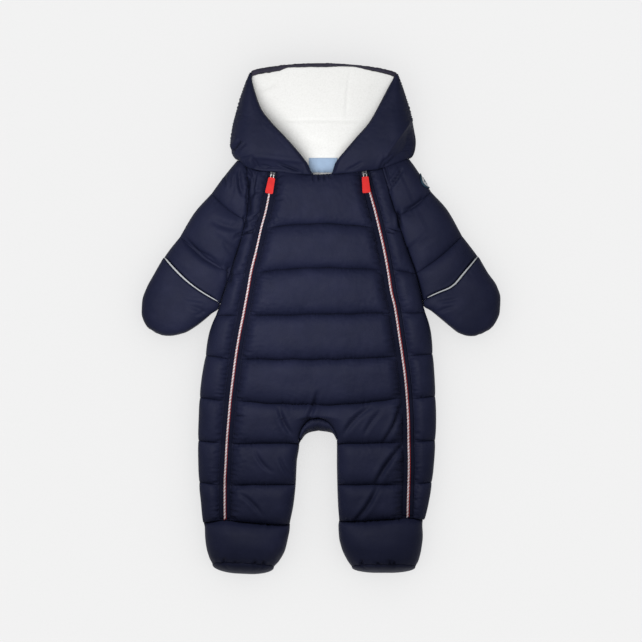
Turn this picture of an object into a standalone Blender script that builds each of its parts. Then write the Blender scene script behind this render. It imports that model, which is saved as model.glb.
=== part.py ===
"""A baby's padded snowsuit, laid open on its back with the front up.

Two zips run from the neck to the ankles, the hood lies open above the neck, the mittens are
turned over the sleeve ends, and padded boots close the legs.

Sizes are in millimetres and become metres when a mesh is made. +X is to the right as one looks
down on the front, +Y runs from the feet to the hood, and +Z is up. The back rests on z = 0.
"Left" and "right" are those of somebody looking at the front.
"""
from collections import namedtuple
from math import copysign, cos, exp, hypot, pi, radians, sin, sqrt

import bmesh
import bpy
from mathutils import Vector
from mathutils.bvhtree import BVHTree

MM = 0.001

# Layers of padded cloth: the back lies under the parting height, the front on top of it.
PARTING = 17.0
SEAM_GAP = 0.3
SEAM_RISE = 9.0
EDGE_RISE = 4.0
ARMHOLE_RISE = 12.0
EDGE_ROUND = 24.0
BACK_ROUND = 20.0
BACK_COLUMNS = (4.0, 12.0)
BACK_SHARES = (0.3, 0.6)
ARMPIT_Y = 103.0
ARMPIT_BLEND = 14.0
SCALLOP = 1.4
SCALLOP_TOP_Y = 14.0
SCALLOP_BLEND = 20.0

# Quilting: rows of points between two lines of stitching, and how full the pillows are.
PUFF_POWER = 2.4
PUFF_PARTS = (0.0, 0.13, 0.37, 0.63, 0.87)
BACK_PARTS = (0.0, 0.18, 0.45, 0.75)
ARMHOLE_CHANNELS = 3
CENTRE_SHARES = (0.12, 0.32, 0.58, 0.8, 0.93, 1.0)
SIDE_SHARES = (0.3, 0.62, 0.88, 1.0)

# The fork between the legs lies in one pillow, where the rows crowd round its arch.
FORK_CHANNEL = 5
FORK_PART_FRONT = 0.315
FORK_PART_BACK = 0.676
FRONT_FORK_PARTS = (0.0, 0.13, FORK_PART_FRONT, 0.38, 0.48, 0.63, 0.84)
BACK_FORK_PARTS = (0.0, 0.3, 0.5, FORK_PART_BACK, 0.725, 0.8, 0.92)
CENTRE_X = -4.0

# Crotch gusset, from the front's arch to the brink of the gap between the legs.
GUSSET_GAP = 0.5
GUSSET_CROWN = 16.0
GUSSET_COLUMNS = (0.0, 0.3, 0.65, 1.0)
GUSSET_BRINK_Y = (-162.0, -163.0, -166.0, -170.5, -175.5)

# Zips.
ZIP_RISE = 12.0
ZIP_SWELL = 3.0
ZIP_SLOT = 1.6
ZIP_LEDGE = 8.5
ZIP_RAMP = 17.0
TAPE_WIDTH = 15.0
TAPE_THICKNESS = 1.2
COIL_WIDTH = 5.0
COIL_TOP_SHARE = 0.6
COIL_HEIGHT = 2.2
COIL_START_ROW = 1

# Slider, pull link and rubber tab; the pull turns about the link's upper bar, under the bail.
SLIDER_WIDTH = 8.0
SLIDER_LENGTH = 9.0
SLIDER_HEIGHT = 2.4
SLIDER_BEVEL = 0.7
BAIL_RADIUS = 0.65
BAIL_SPAN = 5.6
BAIL_HEIGHT = 3.2
BAIL_SHOULDER = 0.6
PIVOT_ABOVE_SLIDER = 1.5
LINK_RADIUS = 0.6
LINK_CORNER = 0.6
LINK_WIDTH = 4.4
LINK_LENGTH = 7.0
TAB_START = 4.0
TAB_LENGTH = 23.5
TAB_TOP_WIDTH = 9.5
TAB_END_WIDTH = 11.5
TAB_THICKNESS = 3.0
TAB_CORNER = 1.6
TAB_CORNER_BEND = 0.3
POCKET_WIDTH = 6.2
POCKET_DEPTH = 4.2
POCKET_HEIGHT = 1.9

# Hood: its sides fold over from the silhouette, its brim stands on the back's top edge.
HOOD_GAP = 1.3
HOOD_STEP = 0.5
HOOD_ROUND_SHARE = 0.6
HOOD_ROUND = 34.0
HOOD_SEAM_SHARE = 0.42
HOOD_DROP = 5.0
HOOD_SIDE_SHARES = (0.0, 0.05, 0.16, 0.34, 0.56, 0.78, 0.92, 1.0)
BOWL_DEPTH = 5.0
BRIM_WIDTH = 6.4
BRIM_HEIGHT = 8.0
BRIM_INSET = 0.035
BRIM_SINK = 1.1
BRIM_STEPS = 16
BRIM_SIDES = 8
BRIM_OVERHANG = 6.0
LINING_THICKNESS = 3.0
LINING_CLEARANCE = 1.2
LINING_SHARES = (0.055, 0.16, 0.3, 0.45, 0.55, 0.7, 0.84, 0.945)
HOOD_BACK_SHARES = (0.0, 0.02) + LINING_SHARES + (0.98, 1.0)

# Thin patches: the neck label on the lining and the round badge on the right sleeve.
PATCH_THICKNESS = 1.0
PATCH_GAP = 0.6
PATCH_DROP = 200.0
LABEL_WIDTH = 41.0
LABEL_LENGTH = 21.0
LABEL_CENTRE = (3.0, 221.5)
LABEL_CELLS = (6, 4)
BADGE_RADIUS = 11.5
BADGE_CELLS = 8
BADGE_TURN = radians(66.0)
BADGE_ARM_PART = 0.62
BADGE_ACROSS = 0.975
BADGE_RISE = 7.5

# Flattened padded tubes: sleeves, mittens and boots.
RING_POINTS = 16
RING_POWER = 0.82
UNDERSIDE_FULLNESS = 1.35
LIMB_WALL = 7.0
LIMB_GAP = 0.8
HALF_SLIT = 0.3
SLIT_RAMP = 3.0
ARM_CHANNELS = 3
ARM_SCALLOP = 1.8
CUFF_RISE = 8.0
HAND_STEP = 0.5
TIP_SEAM = 1.5
PIPING_RADIUS = 1.5
PIPING_LIFT = 1.2
PIPING_SETBACK = 1.9
BOOT_GAP = 0.8
SOLE_GAP = 0.5
SOLE_TILT = radians(11.0)
SOLE_CENTRE_BULGE = 1.5
SOLE_SIDE_LOSS = 0.8
SOLE_SIDE_POWER = 3.0
LEFT_SOLE_Y = -353.0
RIGHT_SOLE_Y = -352.8

Body = namedtuple("Body", "y left left_zip right_zip right")
BODY = (
    Body(217.0, -108.0, -69.0, 61.5, 88.5),
    Body(186.5, -104.5, -73.5, 69.0, 97.0),
    Body(157.5, -106.0, -79.0, 77.0, 106.0),
    Body(131.0, -111.5, -86.0, 83.5, 114.5),
    Body(99.5, -120.0, -93.0, 90.5, 124.5),
    Body(67.5, -130.5, -101.0, 96.5, 136.0),
    Body(38.5, -140.0, -106.0, 101.0, 144.0),
    Body(20.0, -146.0, -109.5, 105.5, 147.5),
    Body(6.5, -151.0, -112.0, 108.0, 151.0),
    Body(-24.0, -161.0, -118.0, 112.5, 158.0),
    Body(-57.5, -166.5, -123.5, 117.5, 161.0),
    Body(-89.0, -171.5, -127.5, 121.5, 163.0),
    Body(-118.0, -174.5, -131.0, 124.0, 164.5),
    Body(-147.0, -175.5, -133.5, 125.5, 165.0),
    Body(-177.5, -176.5, -136.0, 126.0, 164.0),
    Body(-208.0, -176.0, -137.5, 126.5, 162.0),
    Body(-238.5, -175.0, -139.0, 126.0, 159.0),
    Body(-267.5, -172.0, -139.0, 125.0, 154.0),
    Body(-300.0, -169.5, -138.5, 124.5, 146.5),
)

# Inner edges of the legs; above the first row a panel is whole and its halves share the centre.
Fork = namedtuple("Fork", "y left right")
LEG_FORK = (
    Fork(-182.0, -31.5, 23.0),
    Fork(-208.0, -35.0, 23.0),
    Fork(-238.5, -36.5, 23.5),
    Fork(-267.5, -39.5, 24.5),
    Fork(-300.0, -46.0, 27.0),
)
FRONT_FORK = (
    Fork(-142.0, CENTRE_X, CENTRE_X),
    Fork(-145.5, -16.0, 6.0),
    Fork(-151.0, -23.0, 13.0),
    Fork(-160.0, -29.0, 19.0),
    Fork(-172.0, -32.0, 23.0),
) + LEG_FORK
BACK_FORK = (
    Fork(-162.0, CENTRE_X, CENTRE_X),
    Fork(-164.7, -17.5, 15.0),
    Fork(-169.0, -24.0, 20.5),
    Fork(-175.5, -28.5, 23.0),
) + LEG_FORK

# Lines of quilting across the front, from the neck to the boots, and the pillow below each.
# "inner" is the centre of the body, and the inner leg edge below the crotch.
Quilt = namedtuple("Quilt", "left_edge left_zip inner right_zip right_edge crown")
QUILT = (
    Quilt(219.8, 211.9, 207.5, 212.9, 217.2, 23.0),
    Quilt(116.5, 130.0, 137.0, 130.5, 124.5, 26.0),
    Quilt(62.0, 66.0, 73.0, 70.5, 64.0, 27.5),
    Quilt(5.0, 3.5, 6.0, 8.5, 8.0, 28.0),
    Quilt(-53.5, -58.5, -59.5, -54.5, -51.0, 28.0),
    Quilt(-114.5, -119.0, -124.5, -115.5, -113.0, 27.0),
    Quilt(-176.5, -180.0, -180.0, -179.0, -175.5, 26.0),
    Quilt(-236.5, -240.0, -240.5, -240.0, -236.5, 26.0),
    Quilt(-294.5, -293.5, -297.0, -293.0, -292.0, 0.0),
)

# Neckline, where the hood meets the body, and the right hood side a little higher than the left.
Neck = namedtuple("Neck", "x y")
NECK = (
    Neck(-119.0, 230.0), Neck(-107.0, 219.0), Neck(-94.0, 214.5), Neck(-80.0, 212.3),
    Neck(-69.0, 211.9), Neck(-58.0, 211.5), Neck(-35.0, 208.5), Neck(-4.0, 207.5),
    Neck(30.0, 209.4), Neck(48.0, 211.3), Neck(61.5, 212.9), Neck(74.0, 214.4),
    Neck(88.0, 217.0), Neck(109.0, 224.5), Neck(127.0, 231.5),
)

# The largest soft folds, as troughs in the padded front.
Fold = namedtuple("Fold", "x0 y0 x1 y1 width depth")
FOLDS = (
    Fold(118.0, -183.0, 79.0, -238.5, 9.0, 6.0),
    Fold(82.0, -242.0, 47.0, -293.0, 9.0, 5.0),
    Fold(-60.0, -128.0, -41.0, -168.0, 8.0, 5.0),
    Fold(72.0, -127.0, 32.0, -168.0, 9.0, 5.0),
    Fold(114.0, -124.0, 90.0, -178.0, 8.0, 4.0),
    Fold(-5.0, -104.0, -21.0, -149.0, 8.0, 4.0),
)

# Sleeves: sections from the neck to the cuff. Whole parts are lines of quilting; the inner edge
# lies along the body's own edge. "bow" carries the section towards the hand at its middle.
Arm = namedtuple("Arm", "part outer_x outer_y inner_y crown bow")
LEFT_ARM = (
    Arm(0.0, -121.0, 228.5, 217.5, 20.0, 0.0),
    Arm(0.5, -138.0, 207.5, 183.5, 22.0, 2.0),
    Arm(1.0, -158.5, 181.0, 141.5, 23.0, 3.0),
    Arm(1.5, -182.5, 153.0, 103.5, 24.0, 3.0),
    Arm(2.0, -204.5, 118.0, 65.0, 24.0, 3.0),
    Arm(2.5, -218.0, 100.0, 41.5, 23.0, 5.0),
    Arm(3.0, -227.5, 87.5, 21.5, 22.0, 8.0),
)
RIGHT_ARM = (
    Arm(0.0, 127.5, 230.0, 216.0, 20.0, 0.0),
    Arm(0.5, 142.0, 209.5, 185.0, 22.0, 2.0),
    Arm(1.0, 159.5, 183.5, 147.0, 23.0, 3.0),
    Arm(1.5, 182.0, 157.5, 105.0, 24.0, 3.0),
    Arm(2.0, 204.5, 119.5, 65.0, 24.0, 3.0),
    Arm(2.5, 216.0, 103.5, 44.0, 23.0, 5.0),
    Arm(3.0, 227.5, 89.0, 25.5, 22.0, 8.0),
)

# Mittens: sections from the mouth to the closed end.
Hand = namedtuple("Hand", "part outer_x outer_y inner_x inner_y top bow")
LEFT_HAND = (
    Hand(0.0, -227.8, 87.6, -147.7, 21.4, 36.0, 8.0),
    Hand(1.0, -240.0, 66.0, -157.5, 8.5, 41.0, 5.0),
    Hand(2.0, -251.5, 45.0, -168.5, -1.5, 44.0, 2.0),
    Hand(3.0, -258.0, 25.5, -181.5, -11.5, 44.0, 0.0),
    Hand(4.0, -259.0, 8.0, -198.5, -21.0, 41.0, 0.0),
    Hand(5.0, -253.5, -8.0, -217.5, -25.0, 35.0, 0.0),
    Hand(6.0, -247.0, -15.0, -231.0, -23.5, 27.0, 0.0),
)
RIGHT_HAND = (
    Hand(0.0, 227.8, 89.0, 148.3, 25.3, 36.0, 8.0),
    Hand(1.0, 240.5, 67.0, 159.0, 11.5, 41.0, 5.0),
    Hand(2.0, 254.0, 47.0, 171.5, 1.5, 44.0, 2.0),
    Hand(3.0, 259.0, 29.5, 186.5, -11.0, 44.0, 0.0),
    Hand(4.0, 258.0, 9.5, 200.0, -21.0, 41.0, 0.0),
    Hand(5.0, 250.0, -8.5, 213.0, -24.8, 35.0, 0.0),
    Hand(6.0, 241.0, -17.0, 224.5, -24.0, 27.0, 0.0),
)

# Boots: sections from the ankle seam to the sole seam, as shares of the way between them.
Boot = namedtuple("Boot", "part left right top")
LEFT_BOOT = (
    Boot(0.0, -170.0, -45.0, 27.0),
    Boot(0.12, -170.0, -45.5, 39.0),
    Boot(0.35, -168.5, -48.5, 49.0),
    Boot(0.62, -166.0, -52.5, 55.0),
    Boot(0.85, -161.5, -57.5, 53.0),
    Boot(1.0, -158.0, -61.5, 46.0),
)
RIGHT_BOOT = (
    Boot(0.0, 26.0, 147.0, 27.0),
    Boot(0.12, 25.0, 147.5, 39.0),
    Boot(0.35, 27.0, 147.0, 49.0),
    Boot(0.62, 31.0, 144.5, 55.0),
    Boot(0.85, 38.0, 141.0, 53.0),
    Boot(1.0, 42.5, 137.5, 46.0),
)

# Sole sections from the boot's seam outwards: how far out, and how much wider than the seam.
Layer = namedtuple("Layer", "push spread")
SOLE_LAYERS = (Layer(0.0, -0.6), Layer(2.0, 1.4), Layer(6.0, 1.0), Layer(8.5, -4.0))

# Hood sections from the brim to the neck: the silhouette, and the free edges of both sides.
# "lift" raises the section over the surface; "crown" and "wall" are a side's height and thickness.
Hood = namedtuple("Hood", "part left_x left_y left_edge_x left_edge_y right_x right_y "
                          "right_edge_x right_edge_y bow lift crown wall")
HOOD = (
    Hood(0.0, -101.5, 354.0, -98.0, 347.5, 110.0, 352.0, 105.5, 345.5, 17.0, 21.0, 48.0, 10.0),
    Hood(1.0, -108.0, 340.0, -93.5, 327.0, 116.0, 337.0, 96.0, 327.5, 16.0, 13.0, 49.0, 10.0),
    Hood(2.0, -116.0, 318.5, -86.0, 302.0, 123.0, 317.0, 86.0, 304.0, 14.0, 6.0, 50.0, 10.0),
    Hood(3.0, -123.0, 295.0, -70.0, 281.0, 129.5, 296.5, 69.0, 282.0, 10.0, 2.0, 50.0, 10.0),
    Hood(4.0, -128.0, 275.0, -50.5, 260.5, 134.0, 275.0, 50.5, 260.5, 4.0, 0.0, 50.0, 10.0),
    Hood(5.0, -130.5, 255.0, -32.5, 240.0, 137.0, 255.0, 33.0, 240.0, -4.0, 0.0, 49.0, 10.0),
    Hood(6.0, -128.5, 239.0, -19.5, 223.5, 135.0, 240.0, 20.5, 224.0, -11.0, 0.0, 45.0, 12.0),
    Hood(7.0, -119.0, 230.0, -9.0, 208.0, 127.0, 231.5, 13.5, 208.0, 0.0, 0.0, 34.0, 16.0),
)

Pull = namedtuple("Pull", "x y heading zip_heading")
PULLS = {
    "left": Pull(-69.9, 207.0, radians(-11.0), radians(-9.0)),
    "right": Pull(63.2, 208.4, radians(5.0), radians(14.0)),
}

NAVY = (0.020, 0.024, 0.055, 1.0)
FLEECE = (0.90, 0.90, 0.86, 1.0)
RED = (0.80, 0.035, 0.035, 1.0)
SILVER = (0.72, 0.73, 0.75, 1.0)
LABEL_BLUE = (0.32, 0.50, 0.72, 1.0)
PIPING_WHITE = (0.72, 0.73, 0.75, 1.0)
COIL_STRIPE = (0.62, 0.45, 0.48, 1.0)


def clear_scene():
    for old in list(bpy.data.objects):
        bpy.data.objects.remove(old, do_unlink=True)


def make_material(name, colour, roughness, metallic=0.0):
    material = bpy.data.materials.new(name)
    material.use_nodes = True
    shader = material.node_tree.nodes["Principled BSDF"]
    shader.inputs["Base Color"].default_value = colour
    shader.inputs["Roughness"].default_value = roughness
    shader.inputs["Metallic"].default_value = metallic
    return material


def make_collection(name):
    collection = bpy.data.collections.new(name)
    bpy.context.scene.collection.children.link(collection)
    return collection


def curve(table, key, column):
    """A smooth reading of one column of a table that never overshoots its rows."""
    rows = sorted(table, key=lambda row: getattr(row, key))
    keys = [getattr(row, key) for row in rows]
    values = [getattr(row, column) for row in rows]
    slopes = [(values[i + 1] - values[i]) / (keys[i + 1] - keys[i]) for i in range(len(keys) - 1)]
    tangents = [slopes[0]]
    for before, after in zip(slopes, slopes[1:]):
        same_way = before * after > 0
        tangents.append(2 * before * after / (before + after) if same_way else 0.0)
    tangents.append(slopes[-1])

    def value_at(where):
        if where <= keys[0]:
            return values[0]
        if where >= keys[-1]:
            return values[-1]
        i = next(n for n in range(len(keys) - 1) if where <= keys[n + 1])
        span = keys[i + 1] - keys[i]
        t = (where - keys[i]) / span
        start = values[i] * (1 + 2 * t) * (1 - t) ** 2 + span * tangents[i] * t * (1 - t) ** 2
        end = values[i + 1] * t * t * (3 - 2 * t) - span * tangents[i + 1] * t * t * (1 - t)
        return start + end

    return value_at


def mix(a, b, share):
    return a + (b - a) * share


def smooth_step(value):
    t = min(max(value, 0.0), 1.0)
    return t * t * (3 - 2 * t)


def quarter_round(value):
    """Height of a quarter circle: 0 at the edge, 1 from one radius inwards."""
    t = min(max(value, 0.0), 1.0)
    return sqrt(1 - (1 - t) ** 2)


def puff(part):
    """Fullness of a pillow between two lines of stitching, 0 on the lines."""
    return 1 - abs(2 * part - 1) ** PUFF_POWER


def add_object(name, vertices, faces, material, collection):
    mesh = bpy.data.meshes.new(name)
    mesh.from_pydata([Vector(v) * MM for v in vertices], [], faces)
    shape = bmesh.new()
    shape.from_mesh(mesh)
    bmesh.ops.recalc_face_normals(shape, faces=shape.faces)
    shape.to_mesh(mesh)
    shape.free()
    mesh.materials.append(material)
    mesh.shade_smooth()
    mesh.set_sharp_from_angle(angle=radians(50))
    thing = bpy.data.objects.new(name, mesh)
    collection.objects.link(thing)
    return thing


class Wall:
    """An outer surface and a plain inner one, closed by a rim along every free edge."""

    def __init__(self):
        self.outer = []
        self.inner = []
        self.faces = []

    def add_point(self, pair):
        self.outer.append(pair[0])
        self.inner.append(pair[1])
        return len(self.outer) - 1

    def add_row(self, pairs):
        return [self.add_point(pair) for pair in pairs]

    def join(self, row, next_row):
        for a, b, c, d in zip(row, row[1:], next_row[1:], next_row):
            corners = []
            for corner in (a, b, c, d):
                if corner not in corners:
                    corners.append(corner)
            self.faces.append(tuple(corners))

    def close_end(self, ring, tip):
        """Close a ring, whose first point is repeated at its end, with a fan about a tip."""
        centre = self.add_point(tip)
        for a, b in zip(ring, ring[1:]):
            self.faces.append((a, b, centre))

    def make(self, name, material, collection):
        count = len(self.outer)
        edges = {(f[i - 1], f[i]) for f in self.faces for i in range(len(f))}
        free = sorted(edge for edge in edges if (edge[1], edge[0]) not in edges)
        inside = [tuple(corner + count for corner in reversed(f)) for f in self.faces]
        rims = [(b, a, a + count, b + count) for a, b in free]
        return add_object(name, self.outer + self.inner, self.faces + inside + rims,
                          material, collection)


Row = namedtuple("Row", "channel part")
TOP_ROW = Row(0, 0.0)


def quilt_rows(plain_parts, fork_parts):
    """Rows of points down the suit: beside the armholes front and back share theirs."""
    rows = []
    for channel in range(len(QUILT) - 1):
        parts = fork_parts if channel == FORK_CHANNEL else plain_parts
        if channel < ARMHOLE_CHANNELS:
            parts = PUFF_PARTS
        rows += [Row(channel, part) for part in parts]
    return rows + [Row(len(QUILT) - 2, 1.0)]


def line_y(row, station):
    return mix(getattr(QUILT[row.channel], station), getattr(QUILT[row.channel + 1], station), row.part)


class Side:
    """The edges of one half of the suit, read from the tables."""

    def __init__(self, name):
        self.name = name
        self.turn = -1 if name == "left" else 1
        self.edge_at = curve(BODY, "y", name)
        self.zip_at = curve(BODY, "y", name + "_zip")
        self.front_fork_at = curve(FRONT_FORK, "y", name)
        self.back_fork_at = curve(BACK_FORK, "y", name)


SIDES = {name: Side(name) for name in ("left", "right")}
neck_at = curve(NECK, "x", "y")


def fold_depth(x, y):
    """Depth of the soft folds at a place on the front."""
    depth = 0.0
    for fold in FOLDS:
        run_x = fold.x1 - fold.x0
        run_y = fold.y1 - fold.y0
        length = hypot(run_x, run_y)
        along = ((x - fold.x0) * run_x + (y - fold.y0) * run_y) / length ** 2
        across = ((x - fold.x0) * run_y - (y - fold.y0) * run_x) / length
        if 0 < along < 1:
            depth += fold.depth * sin(pi * along) * exp(-(across / fold.width) ** 2)
    return depth


def scallop(row, y):
    """How far a pillow bulges past the side line where the side is free."""
    return SCALLOP * puff(row.part) * smooth_step((SCALLOP_TOP_Y - y) / SCALLOP_BLEND)


def below_armpit(y):
    """0 beside the armhole seam, 1 below it, where the side rounds down."""
    return smooth_step((ARMPIT_Y - y) / ARMPIT_BLEND)


def ledge_rise(row):
    """Height of the flat strip that carries a zip; level where the pull tab lies."""
    return ZIP_RISE + (ZIP_SWELL * puff(row.part) if row.channel > 0 else 0.0)


def past_fork(row, part):
    return row.channel > FORK_CHANNEL or (row.channel == FORK_CHANNEL and row.part > part)


def row_y(row, side, x):
    """Where a line across the suit passes a place: straight outside the zip, sagging inside it."""
    edge_y = line_y(row, side.name + "_edge")
    zip_y = line_y(row, side.name + "_zip")
    inner_y = line_y(row, "inner")
    edge_x = side.edge_at(edge_y)
    zip_x = side.zip_at(zip_y)
    inner_x = side.front_fork_at(inner_y)
    if abs(x - edge_x) < abs(zip_x - edge_x):
        return mix(edge_y, zip_y, abs(x - edge_x) / abs(zip_x - edge_x))
    return mix(zip_y, inner_y, sin(min(1.0, abs(x - zip_x) / abs(inner_x - zip_x)) * pi / 2))


def neck_shift(side, x):
    """How far the neckline lies above the first line across, at a place on it."""
    return neck_at(x) - row_y(TOP_ROW, side, x)


def front_row(row, side, inner, shares):
    """Outer and inner points of a front panel's row, from the zip's slot to its other edge."""
    zip_y = line_y(row, side.name + "_zip")
    zip_x = side.zip_at(zip_y)
    end_y = line_y(row, "inner" if inner else side.name + "_edge")
    end_x = side.front_fork_at(end_y) if inner else side.edge_at(end_y) + side.turn * scallop(row, end_y)
    width = abs(end_x - zip_x)
    turn = copysign(1, end_x - zip_x)
    top_zip_x = side.zip_at(line_y(TOP_ROW, side.name + "_zip"))
    top_end_x = CENTRE_X if inner else side.edge_at(line_y(TOP_ROW, side.name + "_edge"))
    crown_rise = mix(SEAM_RISE, QUILT[row.channel].crown, puff(row.part))
    if not inner:
        edge_rise = mix(ARMHOLE_RISE, EDGE_RISE, below_armpit(end_y))
    elif row.channel == FORK_CHANNEL:
        edge_rise = SEAM_RISE
    else:
        edge_rise = EDGE_RISE
    points = []
    for distance in [ZIP_SLOT / 2, ZIP_LEDGE] + [mix(ZIP_LEDGE, width, share) for share in shares]:
        across = max(0.0, (distance - ZIP_LEDGE) / (width - ZIP_LEDGE))
        x = zip_x + turn * distance
        y = mix(zip_y, end_y, sin(across * pi / 2) if inner else across)
        if row.channel == 0 and distance > ZIP_LEDGE:
            y += neck_shift(side, mix(top_zip_x, top_end_x, across)) * (1 - row.part)
        rise = mix(ledge_rise(row), crown_rise, smooth_step((distance - ZIP_LEDGE) / ZIP_RAMP))
        if distance > ZIP_LEDGE:
            rise -= fold_depth(x, y)
        if not inner or past_fork(row, FORK_PART_FRONT):
            rise = mix(edge_rise, rise, quarter_round((width - distance) / EDGE_ROUND))
        points.append(((x, y, PARTING + rise), (x, y, PARTING)))
    return points


FRONT_ROWS = quilt_rows(PUFF_PARTS, FRONT_FORK_PARTS)


def build_front_centre(material, collection):
    wall = Wall()
    above = None
    for row in FRONT_ROWS:
        left = wall.add_row(front_row(row, SIDES["left"], True, CENTRE_SHARES))
        right_points = front_row(row, SIDES["right"], True, CENTRE_SHARES)
        if past_fork(row, FORK_PART_FRONT):
            right = wall.add_row(right_points)[::-1]
        else:
            right = [left[-1]] + wall.add_row(right_points[:-1])[::-1]
        if above:
            wall.join(above[0], left)
            wall.join(above[1], right)
        above = (left, right)
    return wall.make("front_centre", material, collection)


def build_side_front(side, material, collection):
    wall = Wall()
    above = None
    for row in FRONT_ROWS:
        points = wall.add_row(front_row(row, side, False, SIDE_SHARES))
        if above:
            wall.join(above, points)
        above = points
    return wall.make(side.name + "_side_front", material, collection)


def back_row(row, side):
    """Points of half a row of the back, from the side seam to the middle or the inner leg edge."""
    edge_y = line_y(row, side.name + "_edge")
    edge_x = side.edge_at(edge_y) + side.turn * scallop(row, edge_y)
    end_x = side.back_fork_at(line_y(row, "inner"))
    width = abs(end_x - edge_x)
    turn = copysign(1, end_x - edge_x)
    top_edge_x = side.edge_at(line_y(TOP_ROW, side.name + "_edge"))
    split = past_fork(row, FORK_PART_BACK)
    rounded = PARTING - EDGE_RISE
    points = []
    columns = [0.0, *BACK_COLUMNS, *(width * share for share in BACK_SHARES)]
    columns += [width - column for column in reversed(BACK_COLUMNS)] + [width]
    for distance in columns:
        x = edge_x + turn * distance
        y = row_y(row, side, x)
        if row.channel == 0:
            y += neck_shift(side, mix(top_edge_x, CENTRE_X, distance / width)) * (1 - row.part)
        bottom = rounded * below_armpit(edge_y) * (1 - quarter_round(distance / BACK_ROUND))
        if split:
            bottom = max(bottom, rounded * (1 - quarter_round((width - distance) / BACK_ROUND)))
        points.append(((x, y, bottom), (x, y, PARTING - SEAM_GAP)))
    return points


def build_back(material, collection):
    wall = Wall()
    above = None
    for row in quilt_rows(BACK_PARTS, BACK_FORK_PARTS):
        left = wall.add_row(back_row(row, SIDES["left"]))
        right_points = back_row(row, SIDES["right"])
        if past_fork(row, FORK_PART_BACK):
            right = wall.add_row(right_points)[::-1]
        else:
            right = [left[-1]] + wall.add_row(right_points[:-1])[::-1]
        if above:
            wall.join(above[0], left)
            wall.join(above[1], right)
        above = (left, right)
    return wall.make("back_panel", material, collection)


def gusset_line(side, index):
    """One line over the gusset: a point of the front's arch and its partner on the brink."""
    part = FRONT_FORK_PARTS[index + FRONT_FORK_PARTS.index(FORK_PART_FRONT)]
    arch_y = line_y(Row(FORK_CHANNEL, part), "inner")
    brink_y = GUSSET_BRINK_Y[index]
    clear_x = copysign(GUSSET_GAP, -side.front_fork_at(arch_y)) * min(1.0, index / 2)
    arch = Vector((side.front_fork_at(arch_y) + clear_x, arch_y - GUSSET_GAP))
    brink = Vector((side.back_fork_at(brink_y) + clear_x, brink_y))
    return arch, brink


def build_gusset(material, collection):
    """The crescent between the front's arch and the top of the gap between the legs."""
    steps = range(len(GUSSET_BRINK_Y))
    lines = [gusset_line(SIDES["left"], index) for index in reversed(steps)]
    lines += [gusset_line(SIDES["right"], index) for index in steps[1:]]
    wall = Wall()
    above = None
    for arch, brink in lines:
        points = []
        for column in GUSSET_COLUMNS:
            x, y = arch.lerp(brink, column)
            swell = mix(SEAM_RISE, GUSSET_CROWN, sin(pi * column))
            points.append(((x, y, PARTING + mix(swell, EDGE_RISE, column ** 3)), (x, y, PARTING)))
        row = wall.add_row(points)
        if above:
            wall.join(above, row)
        above = row
    return wall.make("crotch_gusset", material, collection)


def limb_ring(body_side, far_side, bow, top, armhole):
    """Points round a flattened padded tube, from its body side over the top and back beneath."""
    across = Vector(far_side) - Vector(body_side)
    width = across.length
    turn = -1 if far_side[0] < body_side[0] else 1
    forward = Vector((across.y, -across.x)) * turn / width
    inset = LIMB_WALL / width
    points = []
    for j in range(RING_POINTS + 1):
        angle = 2 * pi * j / RING_POINTS
        level = abs(sin(angle)) ** RING_POWER if j % (RING_POINTS // 2) else 0.0
        lean = copysign(abs(cos(angle)) ** RING_POWER, cos(angle))
        share = (1 - lean) / 2
        near_body = armhole and lean > 0
        upper = angle <= pi
        if upper:
            height = mix(PARTING + ARMHOLE_RISE if near_body else PARTING, top, level)
            slit = min(1.0, SLIT_RAMP * level)
        else:
            height = 0.0 if near_body else PARTING * (1 - min(1.0, UNDERSIDE_FULLNESS * level))
            slit = -min(1.0, SLIT_RAMP * level)
        if near_body:
            slit = 1.0 if j < RING_POINTS / 2 else -1.0
        inner_share = mix(0.0 if armhole else inset, 1 - inset, share)
        place = Vector(body_side) + across * share + forward * bow * sin(pi * share)
        inside = Vector(body_side) + across * inner_share + forward * bow * sin(pi * inner_share)
        points.append(((place.x, place.y, height), (inside.x, inside.y, PARTING + HALF_SLIT * slit)))
    return points


def arm_ring(side, table, part):
    """One section of a sleeve; the body's own edge gives the inner end."""
    at = {name: curve(table, "part", name)(part) for name in Arm._fields[1:]}
    inner = Vector((side.edge_at(at["inner_y"]) + side.turn * LIMB_GAP, at["inner_y"]))
    outer = Vector((at["outer_x"], at["outer_y"]))
    fullness = puff(part % 1.0)
    outer += (inner - outer).normalized() * ARM_SCALLOP * (1 - fullness)
    seam = CUFF_RISE if part == ARM_CHANNELS else SEAM_RISE
    armhole = at["inner_y"] > ARMPIT_Y
    return limb_ring(inner, outer, at["bow"], PARTING + mix(seam, at["crown"], fullness), armhole), armhole


def add_ring(wall, points, is_open):
    if is_open:
        return wall.add_row(points)
    ring = wall.add_row(points[:-1])
    return ring + ring[:1]


def build_sleeve(side, table, material, collection):
    wall = Wall()
    above = None
    parts = [channel + part for channel in range(ARM_CHANNELS) for part in PUFF_PARTS]
    for part in parts + [ARM_CHANNELS]:
        points, armhole = arm_ring(side, table, part)
        ring = add_ring(wall, points, armhole)
        if above:
            wall.join(above, ring)
        above = ring
    return wall.make(side.name + "_sleeve", material, collection)


def hand_ring(table, part):
    at = {name: curve(table, "part", name)(part) for name in Hand._fields[1:]}
    return limb_ring((at["inner_x"], at["inner_y"]), (at["outer_x"], at["outer_y"]),
                     at["bow"], at["top"], False)


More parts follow.
